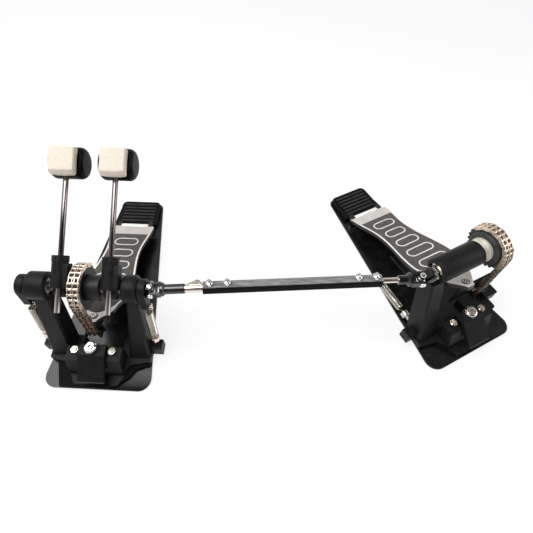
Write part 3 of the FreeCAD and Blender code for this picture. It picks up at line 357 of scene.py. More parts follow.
def flipped(faces):
    return [tuple(reversed(face)) for face in faces]


def tube_faces(rings, count, capped=True):
    # Faces between rings of points, and a cap at each end.
    faces = []
    for low in range(0, (rings - 1) * count, count):
        for step in range(count):
            after = (step + 1) % count
            faces.append((low + step, low + after, low + count + after, low + count + step))
    if capped:
        faces.append(tuple(reversed(range(count))))
        faces.append(tuple(range((rings - 1) * count, rings * count)))
    return faces


def turns(count):
    return [2 * math.pi * step / count for step in range(count)]


def half_turn(start, steps):
    return [start + math.pi * step / steps for step in range(steps + 1)]


def around(first, second, turn):
    # Direction at an angle from the first towards the second.
    return first * math.cos(turn) + second * math.sin(turn)


def on_circle(centre, radius, turn):
    return centre + Vector((math.cos(turn), math.sin(turn))) * radius


def circle(centre, radius, steps):
    return [on_circle(centre, radius, turn) for turn in turns(steps)]


def mirrored(outline):
    return [Vector((-point.x, point.y)) for point in reversed(outline)]


def rounded_outline(corners, radius, steps=5):
    # Closed outline whose corners are turned into short arcs.
    corners = [Vector(corner) for corner in corners]
    points = []
    for index, corner in enumerate(corners):
        before = (corners[index - 1] - corner).normalized()
        after = (corners[(index + 1) % len(corners)] - corner).normalized()
        half = before.angle(after) / 2
        reach = radius / math.tan(half)
        centre = corner + (before + after).normalized() * (radius / math.sin(half))
        start = corner + before * reach - centre
        end = corner + after * reach - centre
        for step in range(steps + 1):
            share = step / steps
            points.append(centre + (start * (1 - share) + end * share).normalized() * radius)
    return points


def split_outline(outline, longest):
    points = []
    for index, point in enumerate(outline):
        span = outline[(index + 1) % len(outline)] - point
        parts = max(1, int(span.length / longest))
        points.extend(point + span * (step / parts) for step in range(parts))
    return points


def sides_of(axis):
    # Two directions square to an axis and to each other.
    nearly_upright = abs(axis.z) >= 0.9
    helper = RIGHT if nearly_upright else UPRIGHT
    first = helper.cross(axis).normalized()
    return first, axis.cross(first)


def drum_profile(radius, low, high, edge):
    # Radius and height of each ring of a drum with bevelled rims.
    return [(radius - edge, low), (radius, low + edge), (radius, high - edge), (radius - edge, high)]


def ring_profile(inner, radius, low, high, edge):
    # The same, closed inwards to a smaller radius at both ends.
    return [(inner, low), *drum_profile(radius, low, high, edge), (inner, high)]


def turned_mesh(place, axis, profile, sides=24):
    # Rings of a radius and a height along an axis; a third value gives a ring that many flats.
    axis = axis.normalized()
    first, second = sides_of(axis)
    points = []
    for radius, height, *flats in profile:
        for turn in turns(sides):
            reach = radius
            if flats:
                part = 2 * math.pi / flats[0]
                reach = radius * math.cos(part / 2) / math.cos((turn % part) - part / 2)
            points.append(place + axis * height + around(first, second, turn) * reach)
    return points, tube_faces(len(profile), sides)


def turned(name, place, axis, profile, material, body, sides=24):
    points, faces = turned_mesh(place, axis, profile, sides)
    piece = mesh_piece(name, points, faces, material)
    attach(piece, body)
    return piece


def swept_mesh(path, radius, sides=10):
    # Round wire along a path, its ring carried along without twist.
    points = []
    first = None
    for index, point in enumerate(path):
        ahead = path[min(index + 1, len(path) - 1)] - path[max(index - 1, 0)]
        ahead.normalize()
        if first is None:
            first = sides_of(ahead)[0]
        first = (first - ahead * first.dot(ahead)).normalized()
        second = ahead.cross(first)
        points.extend(point + around(first, second, turn) * radius for turn in turns(sides))
    return points, tube_faces(len(path), sides)


def slab_mesh(outline, low, high, edge):
    # Flat plate from an outline in its own plane, with a small bevel round its top.
    centre = sum(outline, Vector((0, 0))) / len(outline)
    rings = ((0.0, low), (0.0, high - edge), (edge, high))
    points = []
    for inset, height in rings:
        for point in outline:
            moved = point + (centre - point).normalized() * inset
            points.append(Vector((moved.x, moved.y, height)))
    return points, tube_faces(len(rings), len(outline))


def ring_mesh(outer, inner, low, high):
    # Flat band between two outlines, open underneath.
    points = []
    for outline, height in ((outer, low), (outer, high), (inner, high), (inner, low)):
        points.extend(Vector((point.x, point.y, height)) for point in outline)
    return points, tube_faces(4, len(outer), capped=False)


def prism_mesh(outline, low, high):
    # Straight plate along X from an outline in Y and Z.
    points = [Vector((x, flat.x, flat.y)) for x in (low, high) for flat in outline]
    return points, tube_faces(2, len(outline))


# Footboards: stations along the board from its hinge, with half widths, and what lies on its top
BOARD_ANGLE = {"main": math.radians(15.2), "second": math.radians(19.6)}
BOARD_TOP = 0.009
BOARD_STATIONS = [(0.009, 0.041), (0.085, 0.0325), (0.188, 0.0435), (0.224, 0.029)]
PANEL_START = 0.034
PANEL_END = 0.216
PANEL_BORDER = 0.0032
PANEL_DEPTH = 0.0014
PANEL_RISE = 0.0003
PANEL_BOW = 0.019
PANEL_STEPS = 36
BOW_STEPS = 16
BAND_SPAN = (0.0105, 0.022, 0.0335)
BAND_INSET = 0.0016
BAND_HALF_THICK = 0.0002
BAND_EDGE = 0.0001
PILL_COUNT = 5
PILL_FIRST = 0.058
PILL_PITCH = 0.0325
PILL_SHARE = 0.72
PILL_HALF = 0.0105
PILL_LINE = 0.0024
PILL_LEVELS = (BOARD_TOP + 0.0002, BOARD_TOP + 0.0007)
TOE_SCREW_AT = {"main": 0.242, "second": 0.256}
TOE_RING_RADII = (0.0062, 0.0049)
TOE_RING_LEVELS = (BOARD_TOP - 0.0002, BOARD_TOP + 0.0005)


def board_place(side, place):
    hinge = Matrix.Translation((0, MAIN_HINGE.y, MAIN_HINGE.z))
    return place @ hinge @ Matrix.Rotation(-BOARD_ANGLE[side], 4, "X")


def board_half(at):
    for (start, low), (end, high) in zip(BOARD_STATIONS, BOARD_STATIONS[1:]):
        if at <= end:
            share = (at - start) / (end - start)
            return low + (high - low) * (1 - math.cos(math.pi * share)) / 2
    return BOARD_STATIONS[-1][1]


def panel_outline():
    # Follows the board's edge; bowed towards the toe at its far end.
    right = []
    for index in range(PANEL_STEPS + 1):
        at = PANEL_START + (PANEL_END - PANEL_START) * index / PANEL_STEPS
        right.append(Vector((board_half(at) - PANEL_BORDER, -at)))
    corner = right[-1]
    bow = []
    for step in range(1, BOW_STEPS):
        share = 1 - 2 * step / BOW_STEPS
        bow.append(Vector((corner.x * share, corner.y - PANEL_BOW * (1 - share * share))))
    return right + bow + mirrored(right)


def pill_outline(half_x, half_y, at, steps=12):
    points = []
    for side, start in ((1, -math.pi / 2), (-1, math.pi / 2)):
        centre = Vector((side * (half_x - half_y), -at))
        points.extend(on_circle(centre, half_y, turn) for turn in half_turn(start, steps))
    return points


def dress_boards():
    # Inlaid grey panel with a row of pale outlines, and a grey band between it and the hinge.
    for side, place in SIDES:
        local = board_place(side, place)
        body = side + "_board"
        points, faces = slab_mesh(
            panel_outline(), BOARD_TOP - PANEL_DEPTH, BOARD_TOP + PANEL_RISE, PANEL_RISE)
        placed_piece(side + "_board_panel", points, faces, PANEL, local, body)
        right = [Vector((board_half(at) - BAND_INSET, -at)) for at in BAND_SPAN]
        points, faces = slab_mesh(
            right + mirrored(right), BOARD_TOP - BAND_HALF_THICK, BOARD_TOP + BAND_HALF_THICK, BAND_EDGE)
        placed_piece(side + "_board_band", points, faces, BAND, local, body)
        for index in range(PILL_COUNT):
            at = PILL_FIRST + index * PILL_PITCH
            half_x = (board_half(at) - PANEL_BORDER) * PILL_SHARE
            outer = pill_outline(half_x, PILL_HALF, at)
            inner = pill_outline(half_x - PILL_LINE, PILL_HALF - PILL_LINE, at)
            points, faces = ring_mesh(outer, inner, *PILL_LEVELS)
            placed_piece(side + "_board_outline_" + str(index + 1), points, faces, OUTLINE, local, body)


def toe_rings():
    # Dark ring round each toe screw.
    for side, place in SIDES:
        centre = Vector((0, -TOE_SCREW_AT[side]))
        outer, inner = (circle(centre, radius, steps=40) for radius in TOE_RING_RADII)
        points, faces = ring_mesh(outer, inner, *TOE_RING_LEVELS)
        placed_piece(side + "_toe_ring", points, faces, DARK_RING, board_place(side, place), side + "_board")


# Springs: straight tail, lead that widens to the coil, and the coil
SPRING_RADIUS = 0.006
SPRING_WIRE = 0.0009
SPRING_TAIL = 0.0022
SPRING_LEAD = 0.007
SPRING_PITCH = 0.0021
CURL_STEPS = 28
LEAD_STEPS = 14
LEAD_TURN = 1.2
SPRING_LOW = Vector((0, -0.028, 0.050))
SPRING_HIGH = Vector((0, -0.012, AXLE.z - 0.028))
ROCKER_TIP = 0.006
SEAT_GAP = 0.0003
SPRING_X = {"left": -0.0875, "right": 0.092}
SECOND_SPRING_LOW = Vector((-0.069, 0.004, 0.015))
SECOND_SPRING_HIGH = Vector((-0.069, 0.072, 0.015))
STIRRUP_HALF = 0.0078
STIRRUP_DROP = 0.0025
STIRRUP_SAG = 0.3
STIRRUP_STEPS = 16
STIRRUP_WIRE = 0.0011
STIRRUP_PIN = ring_profile(0.0, 0.0036, 0.0, 0.016, 0.0004)


def coil_path(low, high):
    # Middle line of a spring's wire, from its lower tail to its upper one.
    axis = high - low
    length = axis.length
    axis.normalize()
    first = axis.cross(RIGHT).normalized()
    second = axis.cross(first)
    reach = length - 2 * (SPRING_TAIL + SPRING_LEAD)
    steps = int(reach / SPRING_PITCH) * CURL_STEPS

    def coil_point(height, turn, wide=1.0):
        return low + axis * height + around(first, second, turn) * (SPRING_RADIUS * wide)

    tail = [SPRING_TAIL * share for share in (0, 0.5, 1)]
    lead = []
    for step in range(1, LEAD_STEPS):
        share = step / LEAD_STEPS
        lead.append((SPRING_LEAD * share, LEAD_TURN * (1 - share), share * share * (3 - 2 * share)))
    path = [low + axis * height for height in tail]
    path.extend(coil_point(SPRING_TAIL + rise, -turn, wide) for rise, turn, wide in lead)
    for step in range(steps + 1):
        height = SPRING_TAIL + SPRING_LEAD + reach * step / steps
        path.append(coil_point(height, 2 * math.pi * step / CURL_STEPS))
    path.extend(coil_point(length - SPRING_TAIL - rise, turn, wide) for rise, turn, wide in reversed(lead))
    path.extend(high - axis * height for height in reversed(tail))
    return path


def spring_ends(side):
    low = SPRING_LOW + RIGHT * SPRING_X[side]
    high = SPRING_HIGH + RIGHT * SPRING_X[side]
    return low, high, (high - low).normalized()


def main_springs():
    # Return springs, stretched between the base and the rockers.
    for side, body in BEATER_DRIVES.items():
        low, high, axis = spring_ends(side)
        path = coil_path(low + axis * SEAT_GAP, high - axis * (ROCKER_TIP + SEAT_GAP))
        points, faces = swept_mesh(path, SPRING_WIRE)
        spring = mesh_piece("main_" + side + "_return_spring", points, faces, SPRING)
        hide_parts("main_" + side + "_spring")
        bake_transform(spring)


def second_spring():
    path = coil_path(SECOND @ SECOND_SPRING_LOW, SECOND @ SECOND_SPRING_HIGH)
    points, faces = swept_mesh(path, SPRING_WIRE)
    spring = mesh_piece("second_return_spring", points, faces, SPRING)
    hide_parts("second_spring")
    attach(spring, "second_base")


def spring_stirrups():
    # Pinned strap that ties the top of each return spring to its rocker.
    for side, body in BEATER_DRIVES.items():
        high, axis = spring_ends(side)[1:]
        drop = ROCKER_TIP + STIRRUP_DROP
        path = [high + RIGHT * STIRRUP_HALF]
        for turn in half_turn(0, STIRRUP_STEPS):
            sag = STIRRUP_HALF * STIRRUP_SAG * (1 - math.sin(turn))
            path.append(high - axis * (drop - sag) + RIGHT * (STIRRUP_HALF * math.cos(turn)))
        path.append(high - RIGHT * STIRRUP_HALF)
        points, faces = swept_mesh(path, STIRRUP_WIRE)
        strap = mesh_piece(side + "_spring_stirrup", points, faces, ROSE_NICKEL)
        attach(strap, body)
        pin_start = high - RIGHT * (STIRRUP_PIN[-1][1] / 2)
        turned(side + "_stirrup_pin", pin_start, RIGHT, STIRRUP_PIN, ROSE_NICKEL, body)


# Beaters: places out and up are from the axle; a profile lists radius, height and any number of flats
ROD_PLACES = {"left": -0.0275, "right": 0.0455}
ROD_OFFSET = 0.014
FELT_BACK = 0.022
FELT_FACE = 0.036
FELT_MIDDLE = 0.182
FELT_HALF_UP = 0.0177
FELT_HALF_WIDE = 0.0178
FELT_SHIFT = 0.0007
FELT_BEVEL = 0.006
FELT_ROUND = 0.0022
FELT_DROP = 0.004
FELT_CROWN = 0.0014
FELT_STEP = 0.0012
FELT_WIDE_STEPS = 30
FELT_LUMP_SCALES = (700, 160)
FELT_LUMP_DEPTH = 0.0002
# Places in from the felt's end, and how far its outline draws in there
FELT_RIM = ((0.0, 0.0012), (0.0003, 0.0005), (0.0012, 0.0))
HEAD_OUT = 0.004
HEAD_UP = 0.182
HEAD_RADIUS = 0.0235
HEAD_HALF_X = 0.0255
HEAD_RIM = 0.009
HEAD_RIM_STEPS = 10
HEAD_SIDES = 64
HUB_POST = [
    (0.0042, -0.002), (0.0107, -0.002), (0.0115, -0.0012), (0.0115, 0.0440), (0.0107, 0.0450),
    (0.0042, 0.0450),
]
HUB_RING = ring_profile(0.0076, 0.016, -0.009, 0.009, 0.0008)
HUB_CHEEK = ((0.006, -0.002), (0.022, -0.002), (0.022, 0.034), (0.006, 0.034))
HUB_CHEEK_REACH = 0.0145
HUB_CHEEK_ROUND = 0.003
HUB_COLLAR = [
    (0.0042, 0.0362), (0.0117, 0.0362), (0.0121, 0.0366), (0.0121, 0.0446), (0.0115, 0.0452),
    (0.0042, 0.0452),
]
HUB_COLLAR_REACH = 0.0121
HUB_SCREW_SINK = 0.0008
HUB_SCREW_UP = 0.0407
SOCKET_SCREW = [
    (0.0, 0.0), (0.0038, 0.0), (0.0038, 0.0012), (0.0034, 0.0016), (0.0022, 0.0016, 6), (0.0020, 0.0004, 6),
]


def beater_point(x, out_by, up_by):
    return Vector((x, 0, AXLE.z)) + BEATER_OUT * out_by + BEATER_UP * up_by


def beater_heads():
    # Drum lying across the rod, with rounded rims and a flat front for the felt.
    rim = []
    for step in range(HEAD_RIM_STEPS, -1, -1):
        turn = math.pi / 2 * step / HEAD_RIM_STEPS
        x = HEAD_RIM * (1 - math.sin(turn)) - HEAD_HALF_X
        rim.append((x, HEAD_RADIUS - HEAD_RIM * (1 - math.cos(turn))))
    stations = rim + [(-x, radius) for x, radius in reversed(rim)]
    for side, rod_x in ROD_PLACES.items():
        points = []
        for x, radius in stations:
            for turn in turns(HEAD_SIDES):
                out_by = min(HEAD_OUT + radius * math.cos(turn), FELT_BACK)
                points.append(beater_point(rod_x + x, out_by, HEAD_UP + radius * math.sin(turn)))
        head = mesh_piece(side + "_beater_drum", points, tube_faces(len(stations), HEAD_SIDES), PLASTIC)
        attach(head, side + "_beater")
        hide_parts(side + "_beater_body")


def felt_stations():
    # Places across the felt, with the inset that rounds its outline at both ends.
    rim = [(along - FELT_HALF_WIDE, inset) for along, inset in FELT_RIM]
    flat_half = -rim[-1][0]
    stations = list(rim)
    for step in range(1, FELT_WIDE_STEPS):
        stations.append(((2 * step / FELT_WIDE_STEPS - 1) * flat_half, 0.0))
    return stations + [(-x, inset) for x, inset in reversed(rim)]


def beater_felts():
    # Pressed felt blocks with a bevelled lower edge, a crowned front and a faintly uneven surface.
    low = FELT_MIDDLE - FELT_HALF_UP - FELT_DROP
    high = FELT_MIDDLE + FELT_HALF_UP
    corners = (
        (FELT_BACK, low), (FELT_FACE - FELT_BEVEL, low), (FELT_FACE, low + FELT_BEVEL), (FELT_FACE, high),
        (FELT_BACK, high),
    )
    outline = split_outline(rounded_outline(corners, FELT_ROUND), FELT_STEP)
    middle = Vector(((FELT_BACK + FELT_FACE) / 2, FELT_MIDDLE))
    stations = felt_stations()
    for side, rod_x in ROD_PLACES.items():
        points = []
        for x, inset in stations:
            share = x / FELT_HALF_WIDE
            crown = FELT_CROWN * (1 - share * share)
            for flat in outline:
                inward = (middle - flat).normalized()
                place = flat + inward * inset
                point = beater_point(rod_x + FELT_SHIFT + x, place.x, place.y)
                spread = sum(noise.noise(point * scale) * FELT_LUMP_DEPTH for scale in FELT_LUMP_SCALES)
                point -= (BEATER_OUT * inward.x + BEATER_UP * inward.y) * spread
                if place.x > middle.x:
                    point += BEATER_OUT * crown
                if place.y < low + FELT_BEVEL:
                    point -= BEATER_UP * crown
                points.append(point)
        felt = mesh_piece(side + "_felt_pad", points, tube_faces(len(stations), len(outline)), FELT)
        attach(felt, side + "_beater")
        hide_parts(side + "_beater_felt")


def beater_hubs():
    # Ring on the axle under a round post for the rod, with a flat cheek on its right side.
    for side, body in BEATER_DRIVES.items():
        x = ROD_PLACES[side]
        points, faces = turned_mesh(beater_point(x, ROD_OFFSET, 0), BEATER_UP, HUB_POST, sides=48)
        merge(points, faces, *turned_mesh(Vector((x, 0, AXLE.z)), RIGHT, HUB_RING, sides=48))
        cheek, cheek_faces = prism_mesh(rounded_outline(HUB_CHEEK, HUB_CHEEK_ROUND), x, x + HUB_CHEEK_REACH)
        merge(points, faces, [beater_point(*point) for point in cheek], flipped(cheek_faces))
        hub = mesh_piece(side + "_rod_hub", points, faces, CASTING)
        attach(hub, body)
        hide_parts(side + "_beater_hub")


def hub_collars():
    # Collar at the top of each hub with the socket screw that grips the rod.
    for side, body in BEATER_DRIVES.items():
        x = ROD_PLACES[side]
        foot = beater_point(x, ROD_OFFSET, 0)
        turned(side + "_hub_collar", foot, BEATER_UP, HUB_COLLAR, CASTING, body, sides=48)
        place = beater_point(x, ROD_OFFSET + HUB_COLLAR_REACH - HUB_SCREW_SINK, HUB_SCREW_UP)
        turned(side + "_hub_screw", place, BEATER_OUT, SOCKET_SCREW, GLOSS_BLACK, body)


# Duplex chain and its sprocket
CHAIN_PITCH = 0.008
TOOTH_COUNT = 26
STRAND_HALF = 0.0042
STRANDS = (-STRAND_HALF, STRAND_HALF)
ROLLER_RADIUS = 0.0022
ROLLER_HALF = 0.0022
ROLLER_SIDES = 18
LINK_PLATE = 0.00075
LINK_PLATE_GAP = 0.0001
LINK_PLATE_RADIUS = 0.0032
OUTER_PLATE = STRAND_HALF + ROLLER_HALF + LINK_PLATE + LINK_PLATE_GAP
MIDDLE_PLATE_HALF = 0.00045
PIN_RADIUS = 0.00115
PIN_OVERHANG = 0.0004
PIN_SIDES = 12
WRAP_LINKS = 5
ARC_LINKS = 6
RUN_LINKS = 12
WHEEL_LINKS = WRAP_LINKS + ARC_LINKS
PITCH_RADIUS = CHAIN_PITCH / (2 * math.sin(math.pi / TOOTH_COUNT))
TOOTH_HALF = 0.0017
TOOTH_TIP = 0.0022
TOOTH_ROOT = 0.0027
TOOTH_STEPS = 14
TOOTH_FULLNESS = 0.8
CHAIN_X = {"main": 0.002, "second": 0.042}
CHAIN_LEAN = {"main": -0.0045, "second": 0.0}
WEB_RADIUS = 0.027
WEB_EDGE = 0.0012
SHAFT_SLEEVE_RADIUS = 0.019
SHAFT_SLEEVE_X = (0.009, 0.0315)
SECOND_WEB_X = (0.0298, 0.0521)
WEBS = {
    "main": (
        (WEB_RADIUS, CHAIN_X["main"] - 2 * STRAND_HALF, SHAFT_SLEEVE_X[0]),
        (SHAFT_SLEEVE_RADIUS, *SHAFT_SLEEVE_X),
    ),
    "second": ((WEB_RADIUS, *SECOND_WEB_X),),
}
WHEEL_FINISH = {"main": SPROCKET, "second": GREY_SPROCKET}


def link_plate(start, end, steps=8):
    # Outline of one chain plate round two pins.
    span = end - start
    lean = math.atan2(span.y, span.x)
    points = []
    for centre, first in ((end, lean - math.pi / 2), (start, lean + math.pi / 2)):
        points.extend(on_circle(centre, LINK_PLATE_RADIUS, turn) for turn in half_turn(first, steps))
    return points


def chain_pins():
    # Pin places in Y and Z, over the sprocket and down to the toe.
    step = 2 * math.pi / TOOTH_COUNT
    centre = Vector((0, AXLE.z))
    places = [on_circle(centre, PITCH_RADIUS, math.pi - index * step) for index in range(WHEEL_LINKS, 0, -1)]
    for index in range(RUN_LINKS + 1):
        places.append(Vector((-PITCH_RADIUS, AXLE.z - index * CHAIN_PITCH)))
    return places


def both_ways(middle, start, end):
    return [(middle - end, middle - start), (middle + start, middle + end)]


def chain_mesh(first, last, side):
    # Links from one pin to another, outer and inner in turn; the main run leans sideways on its way down.
    pins = chain_pins()
    points = []
    faces = []
    for index in range(first, last):
        ends = pins[index:index + 2]
        middle = CHAIN_X[side] + CHAIN_LEAN[side] * max(0, index + 0.5 - WHEEL_LINKS) / RUN_LINKS
        plates = []
        rounds = []
        if index % 2 == 0:
            plates += both_ways(0, OUTER_PLATE, OUTER_PLATE + LINK_PLATE)
            plates.append((-MIDDLE_PLATE_HALF, MIDDLE_PLATE_HALF))
            reach = OUTER_PLATE + LINK_PLATE + PIN_OVERHANG
            rounds.append((PIN_RADIUS, PIN_SIDES, -reach, reach))
        else:
            for strand in STRANDS:
                plates += both_ways(strand, ROLLER_HALF, ROLLER_HALF + LINK_PLATE)
                rounds.append((ROLLER_RADIUS, ROLLER_SIDES, strand - ROLLER_HALF, strand + ROLLER_HALF))
        for radius, sides, low, high in rounds:
            for pin in ends:
                merge(points, faces, *prism_mesh(circle(pin, radius, sides), middle + low, middle + high))
        for low, high in plates:
            merge(points, faces, *prism_mesh(link_plate(*ends), middle + low, middle + high))
    return points, faces


def toothed_outline():
    points = []
    for turn in turns(TOOTH_COUNT * TOOTH_STEPS):
        rise = abs(math.sin(TOOTH_COUNT * turn / 2)) ** TOOTH_FULLNESS
        reach = PITCH_RADIUS - TOOTH_ROOT + (TOOTH_ROOT + TOOTH_TIP) * rise
        points.append(on_circle(Vector((0, AXLE.z)), reach, turn))
    return points


def wheel_mesh(side):
    # Two toothed rims on a web, and on the main pedal the sleeve beside them.
    points = []
    faces = []
    for strand in STRANDS:
        middle = CHAIN_X[side] + strand
        merge(points, faces, *prism_mesh(toothed_outline(), middle - TOOTH_HALF, middle + TOOTH_HALF))
    for radius, low, high in WEBS[side]:
        profile = drum_profile(radius, low, high, WEB_EDGE)
        merge(points, faces, *turned_mesh(Vector((0, 0, AXLE.z)), RIGHT, profile, sides=72))
    return points, faces


def sprockets_and_chains():
    # The chain on the sprocket turns with it; the run down to the toe is baked into place and tied to no
    # body.
    for side, place in SIDES:
        drive = side + "_drive"
        wheel = placed_piece(side + "_toothed_wheel", *wheel_mesh(side), WHEEL_FINISH[side], place, drive)
        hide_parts(side + "_sprocket")
        wrap = placed_piece(side + "_chain_on_wheel", *chain_mesh(0, WRAP_LINKS, side), GOLD, place, drive)
        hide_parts(side + "_chain_wrap")
        points, faces = chain_mesh(WRAP_LINKS, WHEEL_LINKS + RUN_LINKS, side)
        run = mesh_piece(side + "_chain_links", [place @ point for point in points], faces, GOLD)
        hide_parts(side + "_chain_run")
        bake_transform(run)


# Linkage: places along it are from the cross joint at the main pedal, but on a fork from its own joint
JOINT_CAP = [
    (0.0, -0.0004), (0.0040, -0.0004), (0.0044, 0.0), (0.0044, 0.0012), (0.0036, 0.0024), (0.0018, 0.0030),
    (0.0, 0.0031),
]
# Each cross joint's pedal, place, body of its shaft and body of its link
CROSS_JOINTS = (
    ("main", LINK_START, "right_drive", "link_outer"),
    ("second", LINK_END, "second_drive", "link_inner"),
)
EAR_REACH = 0.0105
EAR_INNER = 0.007
EAR_HALF = 0.0054
EAR_STEPS = 16
FORK_RADIUS = 0.0104
FORK_START = 0.014
FORK_END = 0.0205
FORK_EDGE = 0.001
FORK_SHOULDER = 0.002
BARREL_FILLET = 0.0006
BARREL_EDGE = 0.0008
# Each fork's name, joint, direction, body, barrel radius and barrel end
LINK_FORKS = (
    ("in", LINK_START, 1, "link_outer", 0.0075, 0.050),
    ("out", LINK_END, -1, "link_inner", 0.0070, 0.034),
)
BAR_HALF = 0.007
BAR_ROUND = 0.0012
BAR_EDGE = 0.0004
BAR_ROLL = math.radians(12)
BAR_START = 0.076
BAR_END_GAP = 0.058
BAR_END = (LINK_END - LINK_START).length - BAR_END_GAP
BAR_RISE = UPRIGHT * math.cos(BAR_ROLL) + LINK_ACROSS * math.sin(BAR_ROLL)
BAR_ASIDE = LINK_ACROSS * math.cos(BAR_ROLL) - UPRIGHT * math.sin(BAR_ROLL)
KEY_INSETS = (0.010, 0.036)
KEY_PLACES = [BAR_START + inset for inset in KEY_INSETS] + [BAR_END - inset for inset in KEY_INSETS]
KEY_COLLAR = [
    (0.0, 0.0), (0.0050, 0.0), (0.0054, 0.0004), (0.0054, 0.0044), (0.0048, 0.0052), (0.0036, 0.0056),
    (0.0, 0.0056),
]
KEY_BOLT = [
    (0.0028, 0.0), (0.0030, 0.0006), (0.0030, 0.0066), (0.0034, 0.0068, 4), (0.0034, 0.0088, 4),
    (0.0029, 0.0093, 4),
]
SLEEVE_START = 0.050
SLEEVE_END = BAR_START
CLAMP_SLEEVE = [(0.0061, SLEEVE_START), (0.0065, SLEEVE_START + 0.0005), (0.0065, SLEEVE_END)]
SLIDING_ROD_RADIUS = 0.004
ROD_INSIDE = 0.110
ROD_OUTSIDE = 0.026
SLIDING_ROD = [(SLIDING_ROD_RADIUS, BAR_END - ROD_INSIDE), (SLIDING_ROD_RADIUS, BAR_END + ROD_OUTSIDE)]
FIN = (
    (SLEEVE_START + 0.004, 0.0058), (SLEEVE_END - 0.001, 0.0058), (SLEEVE_END - 0.003, 0.0150),
    (SLEEVE_END - 0.008, 0.0170),
)
FIN_HALF = 0.0016
FIN_ASIDE = 0.003


def joint_caps():
    # Polished bearing caps on the four ears of each cross joint.
    for side, centre, shaft_body, link_body in CROSS_JOINTS:
        ears = (("_shaft_cap_", UPRIGHT, shaft_body), ("_link_cap_", LINK_ACROSS, link_body))
        for mark, way in (("one", 1), ("two", -1)):
            for part, axis, body in ears:
                place = centre + axis * (way * EAR_REACH)
                turned(side + part + mark, place, axis * way, JOINT_CAP, CHROME, body)


def link_forks():
    # Forks of the link: two ears on a round base, with a slim barrel behind.
    outline = [on_circle(Vector((0, 0)), EAR_HALF, turn) for turn in half_turn(math.pi / 2, EAR_STEPS)]
    outline += [Vector((FORK_START + FORK_EDGE, half)) for half in (-EAR_HALF, EAR_HALF)]
    for mark, centre, way, body, barrel, end in LINK_FORKS:
        axis = LINK_AXIS * way
        across = UPRIGHT.cross(axis)
        profile = [
            (FORK_RADIUS - FORK_EDGE, FORK_START), (FORK_RADIUS, FORK_START + FORK_EDGE),
            (FORK_RADIUS, FORK_END - FORK_SHOULDER), (barrel + FORK_EDGE, FORK_END),
            (barrel, FORK_END + BARREL_FILLET), (barrel, end - BARREL_EDGE), (barrel - BARREL_EDGE, end),
        ]
        points, faces = turned_mesh(centre, axis, profile, sides=48)
        for low, high in ((EAR_INNER, EAR_REACH), (-EAR_REACH, -EAR_INNER)):
            flat_points, flat_faces = prism_mesh(outline, low, high)
            ear = [centre + across * flat.x + axis * flat.y + UPRIGHT * flat.z for flat in flat_points]
            merge(points, faces, ear, flat_faces)
        fork = mesh_piece("link_" + mark + "_yoke", points, faces, GLOSS_BLACK)
        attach(fork, body)
        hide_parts("link_" + mark + "_fork")


def link_bar():
    # Square bar, turned a little on its own axis, with its clamp sleeve and the rod that slides in it.
    frame_of_bar = Matrix((BAR_ASIDE, BAR_RISE, LINK_AXIS)).transposed().to_4x4()
    frame_of_bar.translation = LINK_START
    corners = [(x * BAR_HALF, y * BAR_HALF) for x, y in ((-1, -1), (1, -1), (1, 1), (-1, 1))]
    points, faces = slab_mesh(rounded_outline(corners, BAR_ROUND), BAR_START, BAR_END, BAR_EDGE)
    bar = placed_piece("square_bar", points, faces, BAR, frame_of_bar, "link_outer")
    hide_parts("link_bar")
    sleeve = turned("clamp_sleeve", LINK_START, LINK_AXIS, CLAMP_SLEEVE, NICKEL, "link_outer", sides=40)
    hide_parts("link_sleeve")
    rod = turned("sliding_rod", LINK_START, LINK_AXIS, SLIDING_ROD, NICKEL, "link_inner", sides=32)
    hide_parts("link_rod")


def key_bolts():
    # Square headed bolts on the bar, each on a collar.
    points = []
    faces = []
    for index, place in enumerate(KEY_PLACES):
        foot = LINK_START + LINK_AXIS * place + BAR_RISE * BAR_HALF
        name = "key_bolt_collar_" + str(index + 1)
        turned(name, foot, BAR_RISE, KEY_COLLAR, CHROME, "link_outer", sides=32)
        merge(points, faces, *turned_mesh(foot, BAR_RISE, KEY_BOLT, sides=32))
    bolts = mesh_piece("bar_key_bolts", points, faces, CHROME)
    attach(bolts, "link_outer")
    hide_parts("link_key_bolts")


def sleeve_fin():
    # Thin upright fin on the clamp sleeve.
    points = []
    for depth in (FIN_ASIDE - FIN_HALF, FIN_ASIDE + FIN_HALF):
        side = LINK_START + LINK_ACROSS * depth
        points.extend(side + LINK_AXIS * along + UPRIGHT * rise for along, rise in FIN)
    fin = mesh_piece("sleeve_fin", points, flipped(tube_faces(2, len(FIN))), STEEL)
    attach(fin, "link_outer")


# Small parts of the two bases, and the step of the second pedal's collar
CLAMP_BOLT = Vector((0, -0.058, 0))
CLAMP_BOLT_SPAN = (0.0612, 0.0692)
CLAMP_BODIES = {"main": "main_clamp", "second": "second_base"}
KNURL_TEETH = 36
KNURL_RADII = (0.0094, 0.00985)
KNURL_CREASE = 20
COLLAR_STEP = ring_profile(0.0066, 0.0195, 0.0, 0.0062, 0.0007)
COLLAR_STEP_X = 0.0232
PLATE_LEVEL = 0.005
STRAP_START = Vector((-0.0114, 0.1149))
STRAP_END = Vector((-0.0066, 0.0106))
STRAP_HALF = 0.0011
STRAP_LEVELS = (PLATE_LEVEL - 0.0004, PLATE_LEVEL + 0.0007)
STRAP_EDGE = 0.0002
FLANGE = (
    (-0.058, -0.1036), (0.020, -0.1036), (0.036, -0.098), (0.052, -0.085), (0.061, -0.072), (0.074, -0.066),
    (0.083, -0.064), (0.083, -0.045), (-0.0775, -0.045),
)
FLANGE_ROUND = 0.002
FLANGE_LEVELS = (PLATE_LEVEL - 0.0002, 0.0109)
FLANGE_EDGE = 0.0008


